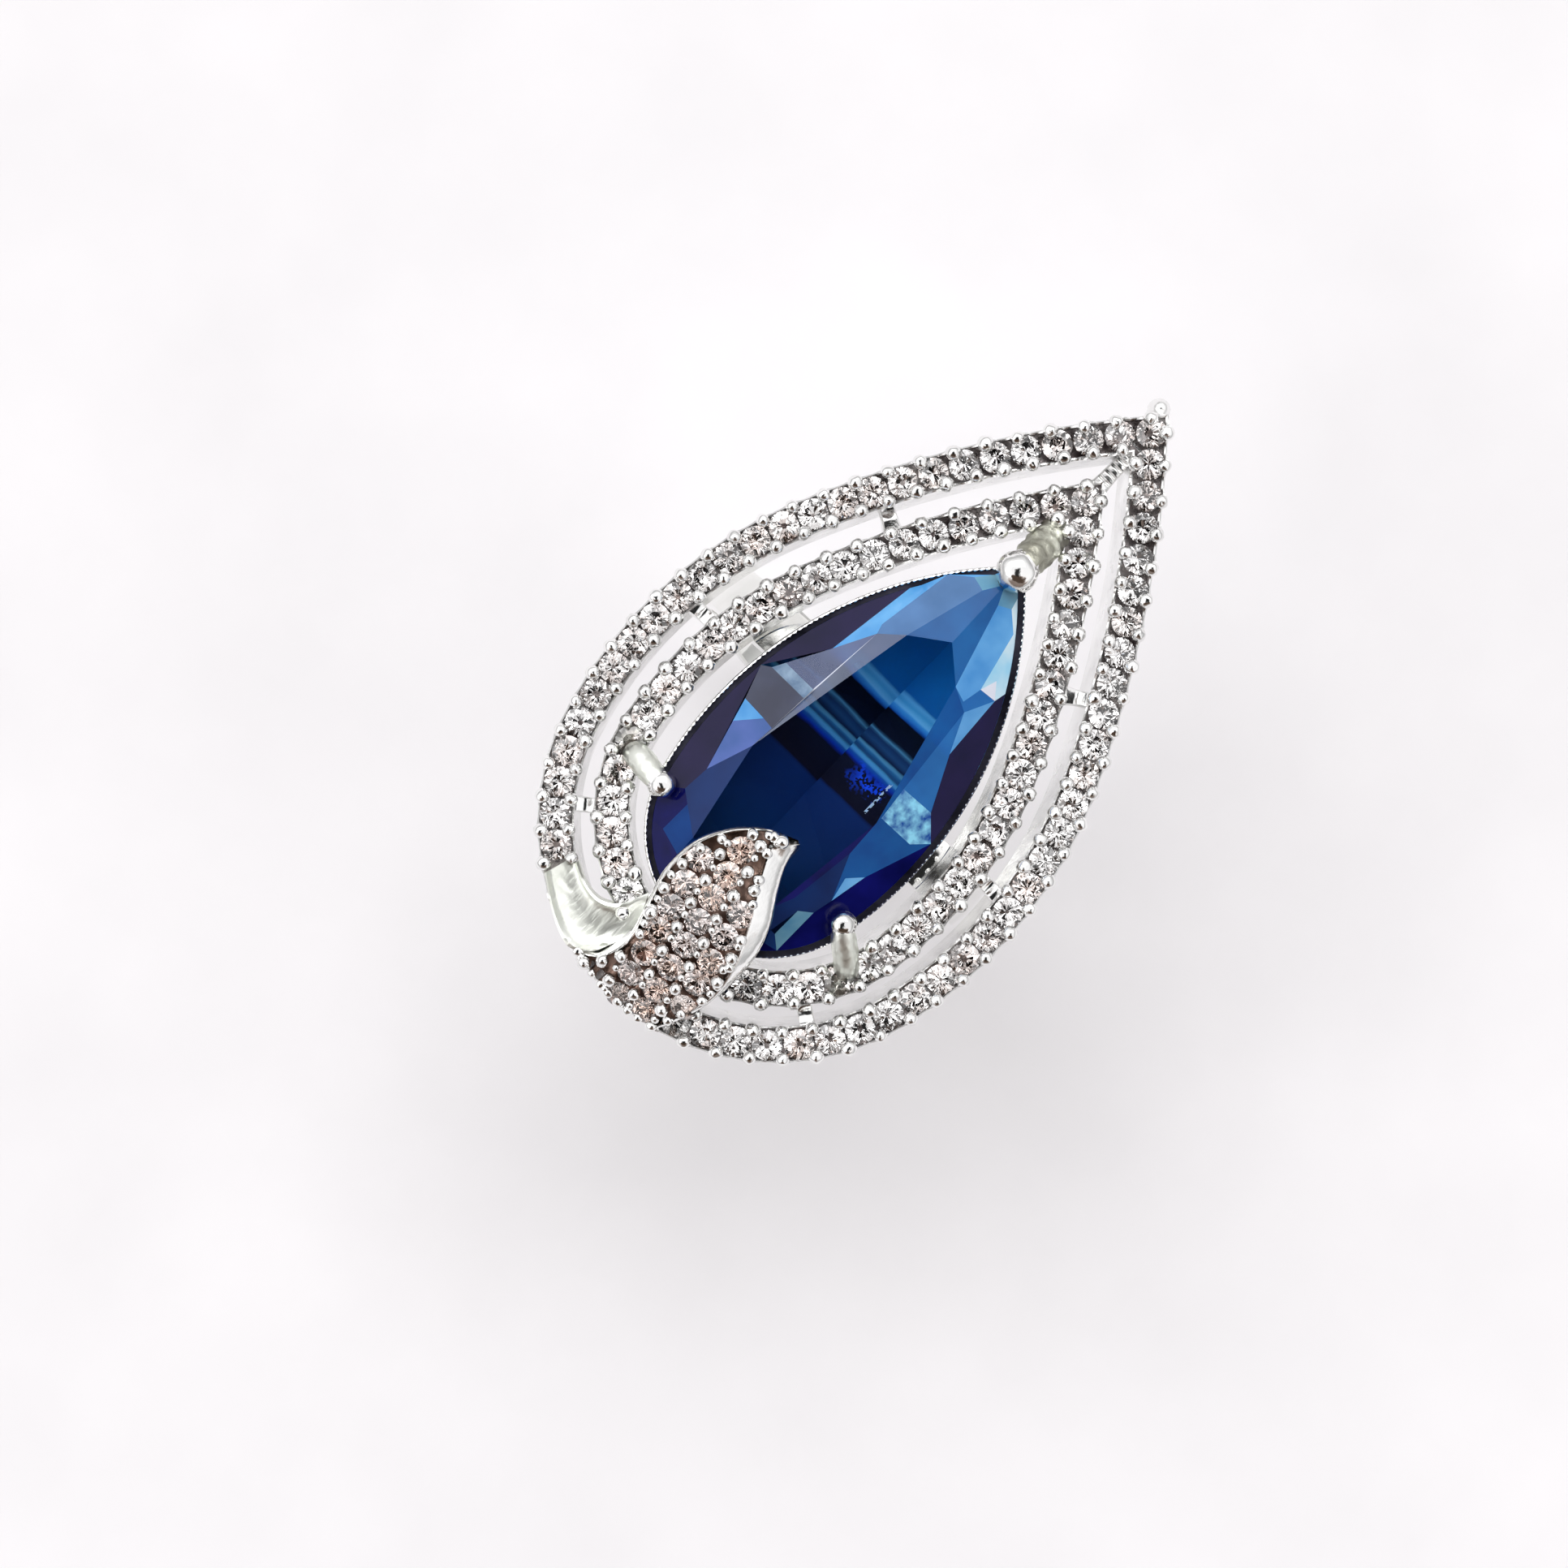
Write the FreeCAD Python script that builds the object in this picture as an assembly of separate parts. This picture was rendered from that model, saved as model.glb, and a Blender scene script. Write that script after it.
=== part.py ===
import FreeCAD, Part
import math
import os

# A pear-shaped cocktail ring.
# Frame: origin at the centre of the finger hole, X along the finger towards the
# stone's point, Z up through the head, millimetres.

doc = FreeCAD.newDocument("cocktail_ring")
sheet = doc.addObject("Spreadsheet::Sheet", "Sizes")

SIZES = [
    ("finger_radius", 9.05, "radius of the finger hole"),
    ("band_thickness", 1.15, "thickness of the shank strip"),
    ("band_width", 2.5, "width of the shank strip"),
    ("arm_offset", 1.5, "each arm's sideways distance from the middle"),
    ("arm_end", 4.4, "how far an arm runs past the middle under the stone"),
    ("shoulder_reach", 7.6, "where the flat top of an arm ends"),
    ("shoulder_foot", 2.0, "height where the shoulder runs into the round band"),
    ("flat_height", 10.3, "height of the flat top of the arms"),
    ("head_shift", -0.57, "head's own origin along X"),
    ("halo_height", 2.5, "height of both halo rails"),
    ("halo_width", 1.6, "width of a halo rail's top"),
    ("halo_draft", 0.15, "how far the inside wall leans inwards at its foot"),
    ("channel_width", 1.32, "width of the stone channel"),
    ("channel_depth", 0.55, "depth of the stone channel"),
    ("outer_centre", -4.24, "centre of the outer halo's round end"),
    ("outer_end_radius", 10.37, "round end, outside edge"),
    ("outer_side_angle", 105.5, "where the round end meets the side"),
    ("outer_side_radius", 19.95, "side, outside edge"),
    ("outer_flank_angle", 66.0, "where the side meets the flank"),
    ("outer_flank_radius", 53.0, "flank, outside edge"),
    ("inner_centre", -3.96, "centre of the inner halo's round end"),
    ("inner_end_radius", 8.15, "round end, outside edge"),
    ("inner_side_angle", 100.0, "where the round end meets the side"),
    ("inner_side_radius", 18.1, "side, outside edge"),
    ("inner_flank_angle", 67.5, "where the side meets the flank"),
    ("inner_flank_radius", 47.0, "flank, outside edge"),
    ("girdle_centre", -4.7, "centre of the stone's round end"),
    ("girdle_end_radius", 5.08, "round end of the girdle"),
    ("girdle_side_angle", 102.9, "where the round end meets the side"),
    ("girdle_side_radius", 17.4, "side of the girdle"),
    ("girdle_flank_angle", 68.7, "where the side meets the flank"),
    ("girdle_flank_radius", 17.0, "flank of the girdle"),
    ("girdle_height", 13.3, "height of the girdle's middle"),
    ("girdle_thickness", 0.24, "thickness of the girdle"),
    ("crown_height", 1.28, "girdle to table"),
    ("pavilion_depth", 2.5, "girdle to keel"),
    ("rim_gap", 0.03, "clearance between girdle and rim"),
    ("rim_thickness", 0.32, "wall of the seat rim"),
    ("rim_ledge", 0.5, "how far the ledge reaches under the stone"),
    ("rim_bottom", 12.2, "underside of the seat rim"),
    ("ledge_top", 12.62, "top of the ledge"),
    ("rim_top", 13.5, "top of the seat rim"),
    ("small_stone_radius", 0.62, "halo stones"),
    ("small_crown", 0.2, "halo stone's crown height"),
    ("small_pitch", 1.36, "distance between halo stones"),
    ("bead_radius", 0.24, "ball beads"),
    ("bead_offset", 0.68, "beads from the rail's middle line"),
    ("bar_width", 0.8, "tie bars"),
    ("bar_thickness", 0.9, "tie bars"),
    ("bar_drop", 0.55, "tie bar's top below the rail's top"),
    ("prong_radius", 0.42, "side prong wire"),
    ("prong_ball", 0.6, "side prong ball"),
    ("tip_prong_radius", 0.62, "tip prong wire"),
    ("tip_prong_ball", 0.86, "tip prong ball"),
    ("leaf_radius", 16.4, "arch of the leaf's top"),
    ("leaf_thickness", 1.0, "leaf thickness"),
    ("leaf_crest", -6.0, "where the leaf's arch is highest"),
    ("leaf_height", 15.8, "height of the leaf's top"),
    ("leaf_rim", 0.22, "width of the leaf's edge"),
    ("leaf_pocket", 0.5, "depth of the leaf's stone pocket"),
    ("leaf_stone_radius", 0.53, "leaf stones"),
    ("leaf_pitch", 1.17, "distance between leaf stones in a row"),
    ("leaf_row_pitch", 1.3, "distance between the leaf's rows"),
    ("leaf_slant", 13.0, "angle of the leaf's rows"),
]


def fill_sheet():
    """Write every size into the sheet, one row each."""
    for index, (name, value, note) in enumerate(SIZES):
        row = str(index + 1)
        sheet.set("A" + row, name)
        sheet.set("B" + row, str(value))
        sheet.set("C" + row, note)
        sheet.setAlias("B" + row, name)
    doc.recompute()


def size(name):
    """A size read back from the sheet."""
    return float(sheet.get(name))


def point(x, y, z):
    return FreeCAD.Vector(x, y, z)


class Pear:
    """A pear outline of three tangent arcs a side, its axis along X."""

    def __init__(self, name):
        self.radii = [size(name + "_end_radius"), size(name + "_side_radius"), size(name + "_flank_radius")]
        first = math.radians(size(name + "_side_angle"))
        second = math.radians(size(name + "_flank_angle"))
        step = self.radii[0] - self.radii[1]
        side = (size(name + "_centre") + step * math.cos(first), step * math.sin(first))
        step = self.radii[1] - self.radii[2]
        flank = (side[0] + step * math.cos(second), side[1] + step * math.sin(second))
        self.centres = [(size(name + "_centre"), 0.0), side, flank]
        self.angles = [math.pi, first, second]

    def tip_angle(self, offset):
        """Direction of the flank's normal where the outline meets the axis."""
        return math.asin(-self.centres[2][1] / (self.radii[2] + offset))

    def at(self, arc, angle, offset, z, side=1):
        radius = self.radii[arc] + offset
        x = self.centres[arc][0] + radius * math.cos(angle)
        y = self.centres[arc][1] + radius * math.sin(angle)
        return point(x, side * y, z)

    def wire(self, offset, z):
        """Closed outline, six arcs, at the given sideways offset and height."""
        stops = self.angles + [self.tip_angle(offset)]
        edges = []
        for side in (1, -1):
            for arc in range(3):
                start, end = stops[arc], stops[arc + 1]
                spots = [self.at(arc, angle, offset, z, side) for angle in (start, (start + end) / 2, end)]
                edges.append(Part.Arc(*spots).toShape())
        upper, lower = edges[:3], edges[3:]
        return Part.Wire(upper + lower[::-1])

    def slab(self, offset, low, high):
        """Straight-sided solid between two heights."""
        face = Part.Face(self.wire(offset, low))
        return face.extrude(point(0, 0, high - low))

    def drafted(self, foot_offset, top_offset, low, high):
        """Solid whose wall leans from one offset to another."""
        return Part.makeLoft([self.wire(foot_offset, low), self.wire(top_offset, high)], True, True)

    def half_length(self, offset):
        stops = self.angles + [self.tip_angle(offset)]
        return [(self.radii[arc] + offset) * (stops[arc] - stops[arc + 1]) for arc in range(3)]

    def along(self, distance, offset):
        """Point and outward direction at a distance from the round end."""
        side = 1 if distance >= 0 else -1
        left = abs(distance)
        for arc, length in enumerate(self.half_length(offset)):
            if left <= length or arc == 2:
                angle = self.angles[arc] - left / (self.radii[arc] + offset)
                spot = self.at(arc, angle, offset, 0, side)
                return spot.x, spot.y, math.cos(angle), side * math.sin(angle)
            left -= length


def head_placement():
    return FreeCAD.Placement(point(size("head_shift"), 0, 0), FreeCAD.Rotation())


def add_feature(label, shape):
    """A finished sub-part whose shape is built from the sheet's sizes."""
    feature = doc.addObject("Part::Feature", label)
    feature.Shape = shape
    feature.Placement = head_placement()
    feature.Label = label
    return feature


def build_shank():
    """One strip wound round the finger, its ends side by side under the stone."""
    inside = size("finger_radius")
    outside = inside + size("band_thickness")
    width = size("band_width")
    turn = math.degrees(math.atan2(size("arm_offset"), (inside + outside) / 2))
    ring = Part.makeCylinder(outside, 12, point(-6, 0, 0), point(1, 0, 0))
    ring = ring.cut(Part.makeCylinder(inside, 14, point(-7, 0, 0), point(1, 0, 0)))
    lower = Part.makeBox(width, 30, 12, point(-width / 2, -15, -12))
    lower.rotate(point(0, 0, 0), point(0, 0, 1), -turn)
    strip = ring.common(lower)
    for side in (-1, 1):
        strip = strip.fuse(arm_shape(side))
    shank = doc.addObject("Part::Feature", "shank_band")
    shank.Shape = strip
    shank.Placement = FreeCAD.Placement()
    shank.Label = "shank_band"
    return shank


def arm_shape(side):
    """Upper half of one arm: round inside, sloping shoulder, flat top."""
    inside = size("finger_radius")
    outside = inside + size("band_thickness")
    top, foot = size("flat_height"), size("shoulder_foot")
    reach, end = size("shoulder_reach"), size("arm_end")
    half = math.radians(math.degrees(math.asin(foot / outside)) / 2)

    def spot(y, z):
        return point(side * size("arm_offset") - size("band_width") / 2, side * y, z)

    base = spot(outside, 0)
    heel = spot(math.sqrt(outside ** 2 - foot ** 2), foot)
    under = spot(-end, math.sqrt(inside ** 2 - end ** 2))
    edges = [
        Part.Arc(base, spot(outside * math.cos(half), outside * math.sin(half)), heel).toShape(),
        Part.makeLine(heel, spot(reach, top)),
        Part.makeLine(spot(reach, top), spot(-end, top)),
        Part.makeLine(spot(-end, top), under),
        Part.Arc(under, spot(inside * 0.6, inside * 0.8), spot(inside, 0)).toShape(),
        Part.makeLine(spot(inside, 0), base),
    ]
    return Part.Face(Part.Wire(edges)).extrude(point(size("band_width"), 0, 0))


def rail_shape(pear):
    """A halo rail: leaning inside wall, flat top with a channel for the stones."""
    low = size("flat_height")
    high = low + size("halo_height")
    width = size("halo_width")
    body = pear.slab(0, low, high)
    hole = pear.drafted(-width - size("halo_draft"), -width, low, high)
    edge = (width - size("channel_width")) / 2
    floor = high - size("channel_depth")
    channel = pear.slab(-edge, floor, high + 1).cut(pear.slab(edge - width, floor, high + 1))
    return body.cut(hole).cut(channel)


def leaf_outline():
    """Plan of the leaf: a broad root on the outer halo and a point over the stone."""
    root_low, root_high = point(-14.45, -2.4, 0), point(-14.2, 2.8, 0)
    waist, tip = point(-10.3, 1.85, 0), point(-4.25, -1.3, 0)
    belly = point(-10.8, -3.3, 0)
    edges = [
        Part.Arc(root_low, point(-14.72, 0.1, 0), root_high).toShape(),
        Part.Arc(root_high, point(-12.3, 1.4, 0), waist).toShape(),
        Part.Arc(waist, point(-6.5, 1.65, 0), tip).toShape(),
        Part.Arc(tip, point(-7.4, -2.55, 0), belly).toShape(),
        Part.Arc(belly, point(-12.8, -3.05, 0), root_low).toShape(),
    ]
    return Part.Wire(edges)


def leaf_prism(grow):
    """The leaf's plan, grown or shrunk, as a tall block."""
    outline = leaf_outline()
    if grow:
        outline = outline.makeOffset2D(grow)
    return Part.Face(outline).extrude(point(0, 0, 20))


def arch(drop, reach=30):
    """Round bar across the ring whose top is the leaf's arch."""
    radius = size("leaf_radius")
    centre = point(size("leaf_crest"), -reach / 2, size("leaf_height") - radius)
    return Part.makeCylinder(radius - drop, reach, centre, point(0, 1, 0))


def leaf_normal(x):
    """Height and slope of the leaf's top over x."""
    radius = size("leaf_radius")
    across = x - size("leaf_crest")
    rise = math.sqrt(radius ** 2 - across ** 2)
    z = size("leaf_height") - radius + rise
    return z, point(across / radius, 0, rise / radius)


def leaf_tray_shape():
    """Arched plate with a pocket for the stones."""
    plate = leaf_prism(0).common(arch(0)).cut(arch(size("leaf_thickness")))
    pocket = leaf_prism(-size("leaf_rim")).cut(arch(size("leaf_pocket")))
    return plate.cut(pocket)


def curl_outline():
    """Plan of the plain curl between the outer halo and the leaf."""
    start, end = point(-14.3, 2.6, 0), point(-11.9, 1.2, 0)
    corners = [point(-12.98, 5.2, 0), point(-11.55, 4.72, 0)]
    return Part.Wire([
        Part.Arc(start, point(-13.85, 3.95, 0), corners[0]).toShape(),
        Part.makeLine(corners[0], corners[1]),
        Part.Arc(corners[1], point(-12.0, 3.2, 0), end).toShape(),
        Part.makeLine(end, start),
    ])


def curl_shape():
    """Plain block on the outer rail, hollowed along its top."""
    low = size("flat_height") + 0.9
    block = Part.Face(curl_outline()).extrude(point(0, 0, 2.1))
    block.translate(point(0, 0, low))
    hollow = Part.makeCylinder(2.6, 12, point(-13.35, 0, low + 4.2), point(0.35, 1, 0.05))
    return block.cut(hollow)


def stone_cut(height, turn, slope, reach):
    """Half space outside one facet, as a large box."""
    box = Part.makeBox(60, 60, 30, point(-30, -30, 0))
    tilt = FreeCAD.Rotation(point(0, 1, 0), slope)
    spin = FreeCAD.Rotation(point(0, 0, 1), turn)
    base = point(reach * math.cos(math.radians(turn)), reach * math.sin(math.radians(turn)), height)
    box.Placement = FreeCAD.Placement(base, spin.multiply(tilt))
    return box


def pear_reach(pear, turn):
    """How far the outline reaches in a direction."""
    angle = math.radians(abs(turn))
    best = -99.0
    stops = pear.angles + [pear.tip_angle(0)]
    for arc in range(3):
        held = max(stops[arc + 1], min(stops[arc], angle))
        spot = pear.at(arc, held, 0, 0)
        best = max(best, spot.x * math.cos(angle) + spot.y * math.sin(angle))
    return best


def centre_stone_shape(pear):
    """Pear brilliant: girdle slab trimmed by crown and pavilion facets."""
    half = size("girdle_thickness") / 2
    middle = size("girdle_height")
    top = middle + size("crown_height")
    stone = pear.slab(0, middle - size("pavilion_depth"), top)
    crown = [(0, 14), (46, 24), (74, 32), (97, 33), (122, 32), (150, 30), (180, 30)]
    for turn, slope in crown:
        for side in (1, -1):
            reach = pear_reach(pear, turn)
            stone = stone.cut(stone_cut(middle + half, side * turn, slope, reach))
    pavilion = [(48, 27), (80, 27), (105, 27), (140, 28), (180, 24)]
    for turn, slope in pavilion:
        for side in (1, -1):
            reach = pear_reach(pear, turn)
            stone = stone.cut(stone_cut(middle - half, side * turn, 180 - slope, reach))
    return stone


def small_stone(radius, crown, depth):
    """Round brilliant reduced to girdle, crown and cone, culet at the origin."""
    outline = [
        point(0, 0, 0),
        point(radius, 0, depth * 0.86),
        point(radius, 0, depth * 0.94),
        point(radius * 0.58, 0, depth * 0.94 + crown),
        point(0, 0, depth * 0.94 + crown),
    ]
    face = Part.Face(Part.makePolygon(outline + [outline[0]]))
    return face.revolve(point(0, 0, 0), point(0, 0, 1), 360)


def bead(radius):
    """Ball with a flat foot at the origin."""
    ball = Part.makeSphere(radius, point(0, 0, radius * 0.35))
    return ball.common(Part.makeBox(4, 4, 4, point(-2, -2, 0)))


def moved(shape, spot, normal=None):
    """A copy stood at a spot, its axis along the normal."""
    copy = shape.copy()
    turn = FreeCAD.Rotation(point(0, 0, 1), normal or point(0, 0, 1))
    copy.Placement = FreeCAD.Placement(spot, turn)
    return copy


def stone_stops(pear):
    """Distances along the rail of every stone not under the leaf or curl."""
    offset = -size("halo_width") / 2
    half = sum(pear.half_length(offset))
    count = int(round(half / size("small_pitch")))
    return [half * index / count for index in range(-count + 1, count + 1)]


def covered(x, y, margin, upper):
    """True where the leaf or the curl lies over the rail."""
    return x < -9.0 and -3.1 - margin < y < upper + margin


def halo_stones(pear, upper):
    offset = -size("halo_width") / 2
    floor = size("flat_height") + size("halo_height") - size("channel_depth")
    pattern = small_stone(size("small_stone_radius"), size("small_crown"), size("channel_depth"))
    stones = []
    for stop in stone_stops(pear):
        x, y, nx, ny = pear.along(stop, offset)
        at_tip = abs(abs(stop) - sum(pear.half_length(offset))) < 0.01
        if at_tip:
            x, y = pear.along(stop, offset)[0], 0.0
        if not covered(x, y, 0.6, upper):
            stones.append(moved(pattern, point(x, y, floor)))
    return Part.makeCompound(stones)


def halo_beads(pear, direction, upper):
    """Ball beads between neighbouring stones along one edge of a rail."""
    offset = -size("halo_width") / 2
    top = size("flat_height") + size("halo_height")
    pattern = bead(size("bead_radius"))
    stops = stone_stops(pear)
    step = stops[1] - stops[0]
    beads = []
    for stop in stops:
        x, y, nx, ny = pear.along(stop - step / 2, offset)
        x += direction * size("bead_offset") * nx
        y += direction * size("bead_offset") * ny
        if not covered(x, y, 0.1, upper) and abs(y) > size("bead_radius") + 0.02:
            beads.append(moved(pattern, point(x, y, top)))
    return Part.makeCompound(beads)


def leaf_sites(inset, shift):
    """Rows of spots inside the leaf, slanted across it; shift is in steps of the grid."""
    slant = math.radians(size("leaf_slant"))
    along, across = size("leaf_pitch"), size("leaf_row_pitch")
    area = Part.Face(leaf_outline().makeOffset2D(-inset))
    sites = []
    for row in range(-3, 4):
        for column in range(-6, 5):
            u = (column + shift[0]) * along
            v = (row + shift[1]) * across
            x = -8.35 + u * math.cos(slant) - v * math.sin(slant)
            y = -0.05 + u * math.sin(slant) + v * math.cos(slant)
            if area.isInside(point(x, y, 0), 0.001, True):
                sites.append((x, y))
    return sites


def leaf_group(pattern, depth, inset, shift):
    """Copies stood on the floor of the leaf's pocket."""
    copies = []
    for x, y in leaf_sites(inset, shift):
        z, normal = leaf_normal(x)
        spot = point(x, y, z) - normal * depth
        copies.append(moved(pattern, spot, normal))
    return Part.makeCompound(copies)


def wire_prong(foot, knee, ball, radius, ball_radius):
    """Round wire from foot to knee to ball."""
    first = knee - foot
    second = ball - knee
    shape = Part.makeCylinder(radius, first.Length, foot, first)
    shape = shape.fuse(Part.makeSphere(radius, knee))
    shape = shape.fuse(Part.makeCylinder(radius, second.Length, knee, second))
    return shape.fuse(Part.makeSphere(ball_radius, ball)).removeSplitter()


def tie_bar(x, y, turn, length):
    """Flat bar set between the two rails, below their tops."""
    width, thickness = size("bar_width"), size("bar_thickness")
    top = size("flat_height") + size("halo_height") - size("bar_drop")
    bar = Part.makeBox(length, width, thickness, point(-length / 2, -width / 2, top - thickness))
    bar.Placement = FreeCAD.Placement(point(x, y, 0), FreeCAD.Rotation(point(0, 0, 1), turn))
    return bar


def biggest(shape):
    """The largest solid of a result, with any loose sliver dropped."""
    return max(shape.Solids, key=lambda solid: solid.Volume)


fill_sheet()
outer = Pear("outer")
inner = Pear("inner")
girdle = Pear("girdle")
rail_low = size("flat_height")
rail_top = rail_low + size("halo_height")

shank = build_shank()
doc.recompute()

# The two rails; the outer one is lowered under the leaf and the curl.
outer_rail = rail_shape(outer)
leaf_space = leaf_prism(0.02).cut(arch(size("leaf_thickness")))
curl_face = Part.Face(curl_outline()).extrude(point(0, 0, 20))
curl_space = curl_face.cut(Part.makeBox(60, 60, rail_low + 0.9, point(-30, -30, 0)))
inner_rail = rail_shape(inner)
outer_rail = biggest(outer_rail.cut(leaf_space).cut(curl_space))
inner_rail = biggest(inner_rail.cut(leaf_space))
outer_frame = add_feature("outer_halo_frame", outer_rail)
inner_frame = add_feature("inner_halo_frame", inner_rail)

# Stone, its seat and the legs under the seat.
stone_shape = centre_stone_shape(girdle)
stone = add_feature("centre_stone", stone_shape)
gap = size("rim_gap")
wall = girdle.slab(gap + size("rim_thickness"), size("rim_bottom"), size("rim_top"))
bowl = girdle.slab(gap, size("ledge_top"), size("rim_top") + 1)
opening = girdle.slab(-size("rim_ledge"), 0, size("rim_top"))
rim_shape = wall.cut(bowl).cut(opening).cut(leaf_space)
rim = add_feature("stone_seat_rim", biggest(rim_shape))
for label, x, y in (("seat_leg_near", -0.93, -4.9), ("seat_leg_far", 2.07, 4.85)):
    leg = Part.makeBox(1.5, 0.5, size("rim_bottom") - rail_low, point(x - 0.75, y - 0.25, rail_low))
    add_feature(label, leg)

# Prongs, trimmed where they touch the rail, the rim and the stone.
ball_z = size("girdle_height") + 0.75
PRONGS = (
    ("prong_tip", (13.6, 0, 12.2), (12.0, 0, 13.7), (10.75, 0, 14.0), "tip_prong_radius", "tip_prong_ball"),
    ("prong_left", (-6.2, 6.6, 12.1), (-6.25, 5.75, 13.6), (-6.4, 4.75, ball_z), "prong_radius", "prong_ball"),
    ("prong_right", (-6.2, -6.6, 12.1), (-5.85, -5.6, 13.6), (-5.35, -4.85, ball_z), "prong_radius", "prong_ball"),
)
inner_solid = rail_shape(inner).fuse(inner.slab(-0.14, rail_top - 0.6, rail_top + 0.3).cut(
    inner.slab(0.14 - size("halo_width"), rail_top - 0.7, rail_top + 0.4)))
for label, foot, knee, ball, thick, round_end in PRONGS:
    prong = wire_prong(point(*foot), point(*knee), point(*ball), size(thick), size(round_end))
    prong = biggest(prong.cut(inner_solid))
    prong = biggest(prong.cut(rim_shape).cut(stone_shape))
    add_feature(label, prong)

# Seven bars between the rails.
BARS = (
    ("tie_bar_left_mid", 0.1, 8.75, 92),
    ("tie_bar_right_mid", 0.1, -8.75, -92),
    ("tie_bar_left_tip", 8.85, 5.9, 58),
    ("tie_bar_right_tip", 8.85, -5.9, -58),
    ("tie_bar_left_root", -9.35, 6.55, 127),
    ("tie_bar_right_root", -9.35, -6.55, -127),
    ("tie_bar_point", 17.1, 0, 0),
)
for label, x, y, turn in BARS:
    length = 3.2 if label == "tie_bar_point" else 2.2
    bar = tie_bar(x, y, turn, length)
    bar = biggest(bar.cut(rail_shape(outer)).cut(rail_shape(inner)))
    add_feature(label, bar)

# Leaf, its stones and the curl beside it.
tray = leaf_tray_shape()
tray = biggest(tray.cut(stone_shape))
add_feature("leaf_tray", tray)
curl = biggest(curl_shape().cut(leaf_prism(0)))
add_feature("leaf_curl", curl)
root = Part.makeBox(1.4, 2.6, 3.0, point(-12.0, -1.3, rail_top - size("channel_depth")))
root = biggest(root.common(arch(size("leaf_thickness"))).cut(rail_shape(inner)).cut(rail_shape(outer)))
add_feature("leaf_root", root)
pocket = size("leaf_pocket")
leaf_stone = small_stone(size("leaf_stone_radius"), size("small_crown"), pocket)
add_feature("leaf_stones", leaf_group(leaf_stone, pocket, 0.78, (0, 0)))
leaf_bead = Part.makeCylinder(0.13, pocket + 0.1).fuse(Part.makeSphere(0.16, point(0, 0, pocket + 0.1)))
leaf_bead = leaf_bead.removeSplitter()
add_feature("leaf_beads", leaf_group(leaf_bead, pocket, 0.42, (0.5, 0.5)))

# Small stones and ball beads of the halos.
add_feature("outer_halo_stones", halo_stones(outer, 5.0))
add_feature("inner_halo_stones", halo_stones(inner, 1.9))
add_feature("outer_halo_beads_outside", halo_beads(outer, 1, 5.0))
add_feature("outer_halo_beads_inside", halo_beads(outer, -1, 5.0))
add_feature("inner_halo_beads_outside", halo_beads(inner, 1, 1.9))
add_feature("inner_halo_beads_inside", halo_beads(inner, -1, 1.9))
doc.recompute()

def write_parts():
    """Check every sub-part and write each to its own file."""
    os.makedirs("parts", exist_ok=True)
    for part in doc.Objects:
        if any(word in part.State for word in ("Invalid", "Error")):
            raise RuntimeError(part.Label + " did not build")
        if part is sheet:
            continue
        if part.Shape.isNull() or not part.Shape.isValid() or not part.Shape.Solids:
            raise RuntimeError(part.Label + " has no sound shape")
        box = part.Shape.BoundBox
        print("%-26s solids %3d volume %8.3f  x %6.2f %6.2f  y %6.2f %6.2f  z %6.2f %6.2f" % (
            part.Label, len(part.Shape.Solids), part.Shape.Volume,
            box.XMin, box.XMax, box.YMin, box.YMax, box.ZMin, box.ZMax))
        part.Shape.exportStep(os.path.join("parts", part.Label + ".step"))


write_parts()
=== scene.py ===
import bpy
import bmesh
import math
import random
from mathutils import Matrix, Vector, noise


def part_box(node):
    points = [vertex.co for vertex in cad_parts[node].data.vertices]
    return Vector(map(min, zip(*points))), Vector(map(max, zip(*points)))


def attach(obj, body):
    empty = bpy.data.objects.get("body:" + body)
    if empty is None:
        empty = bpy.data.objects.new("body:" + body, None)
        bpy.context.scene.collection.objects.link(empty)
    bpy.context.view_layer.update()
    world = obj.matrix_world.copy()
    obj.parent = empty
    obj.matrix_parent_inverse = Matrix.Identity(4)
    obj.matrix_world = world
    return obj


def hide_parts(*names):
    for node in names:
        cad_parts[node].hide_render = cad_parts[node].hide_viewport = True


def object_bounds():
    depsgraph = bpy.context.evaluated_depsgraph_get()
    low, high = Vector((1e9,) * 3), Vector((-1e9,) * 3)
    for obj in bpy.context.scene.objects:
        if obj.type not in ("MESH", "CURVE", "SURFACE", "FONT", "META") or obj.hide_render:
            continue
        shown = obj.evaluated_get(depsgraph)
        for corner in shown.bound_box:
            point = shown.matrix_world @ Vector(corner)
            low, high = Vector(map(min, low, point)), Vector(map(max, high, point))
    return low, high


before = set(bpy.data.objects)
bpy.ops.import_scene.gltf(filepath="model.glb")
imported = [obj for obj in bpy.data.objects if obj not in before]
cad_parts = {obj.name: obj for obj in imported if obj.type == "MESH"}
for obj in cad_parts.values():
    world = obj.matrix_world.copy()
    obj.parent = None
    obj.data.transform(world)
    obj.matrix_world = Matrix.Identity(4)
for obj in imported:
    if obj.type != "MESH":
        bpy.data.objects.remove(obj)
CAD_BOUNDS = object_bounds()
MM = 0.001
rng = random.Random(41)


def box_mm(node):
    """Corners of a CAD node's box, mm."""
    low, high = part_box(node)
    return [v / MM for v in low], [v / MM for v in high]


def heights(node):
    """Lowest and highest z of a CAD node, mm."""
    low, high = box_mm(node)
    return low[2], high[2]


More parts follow.
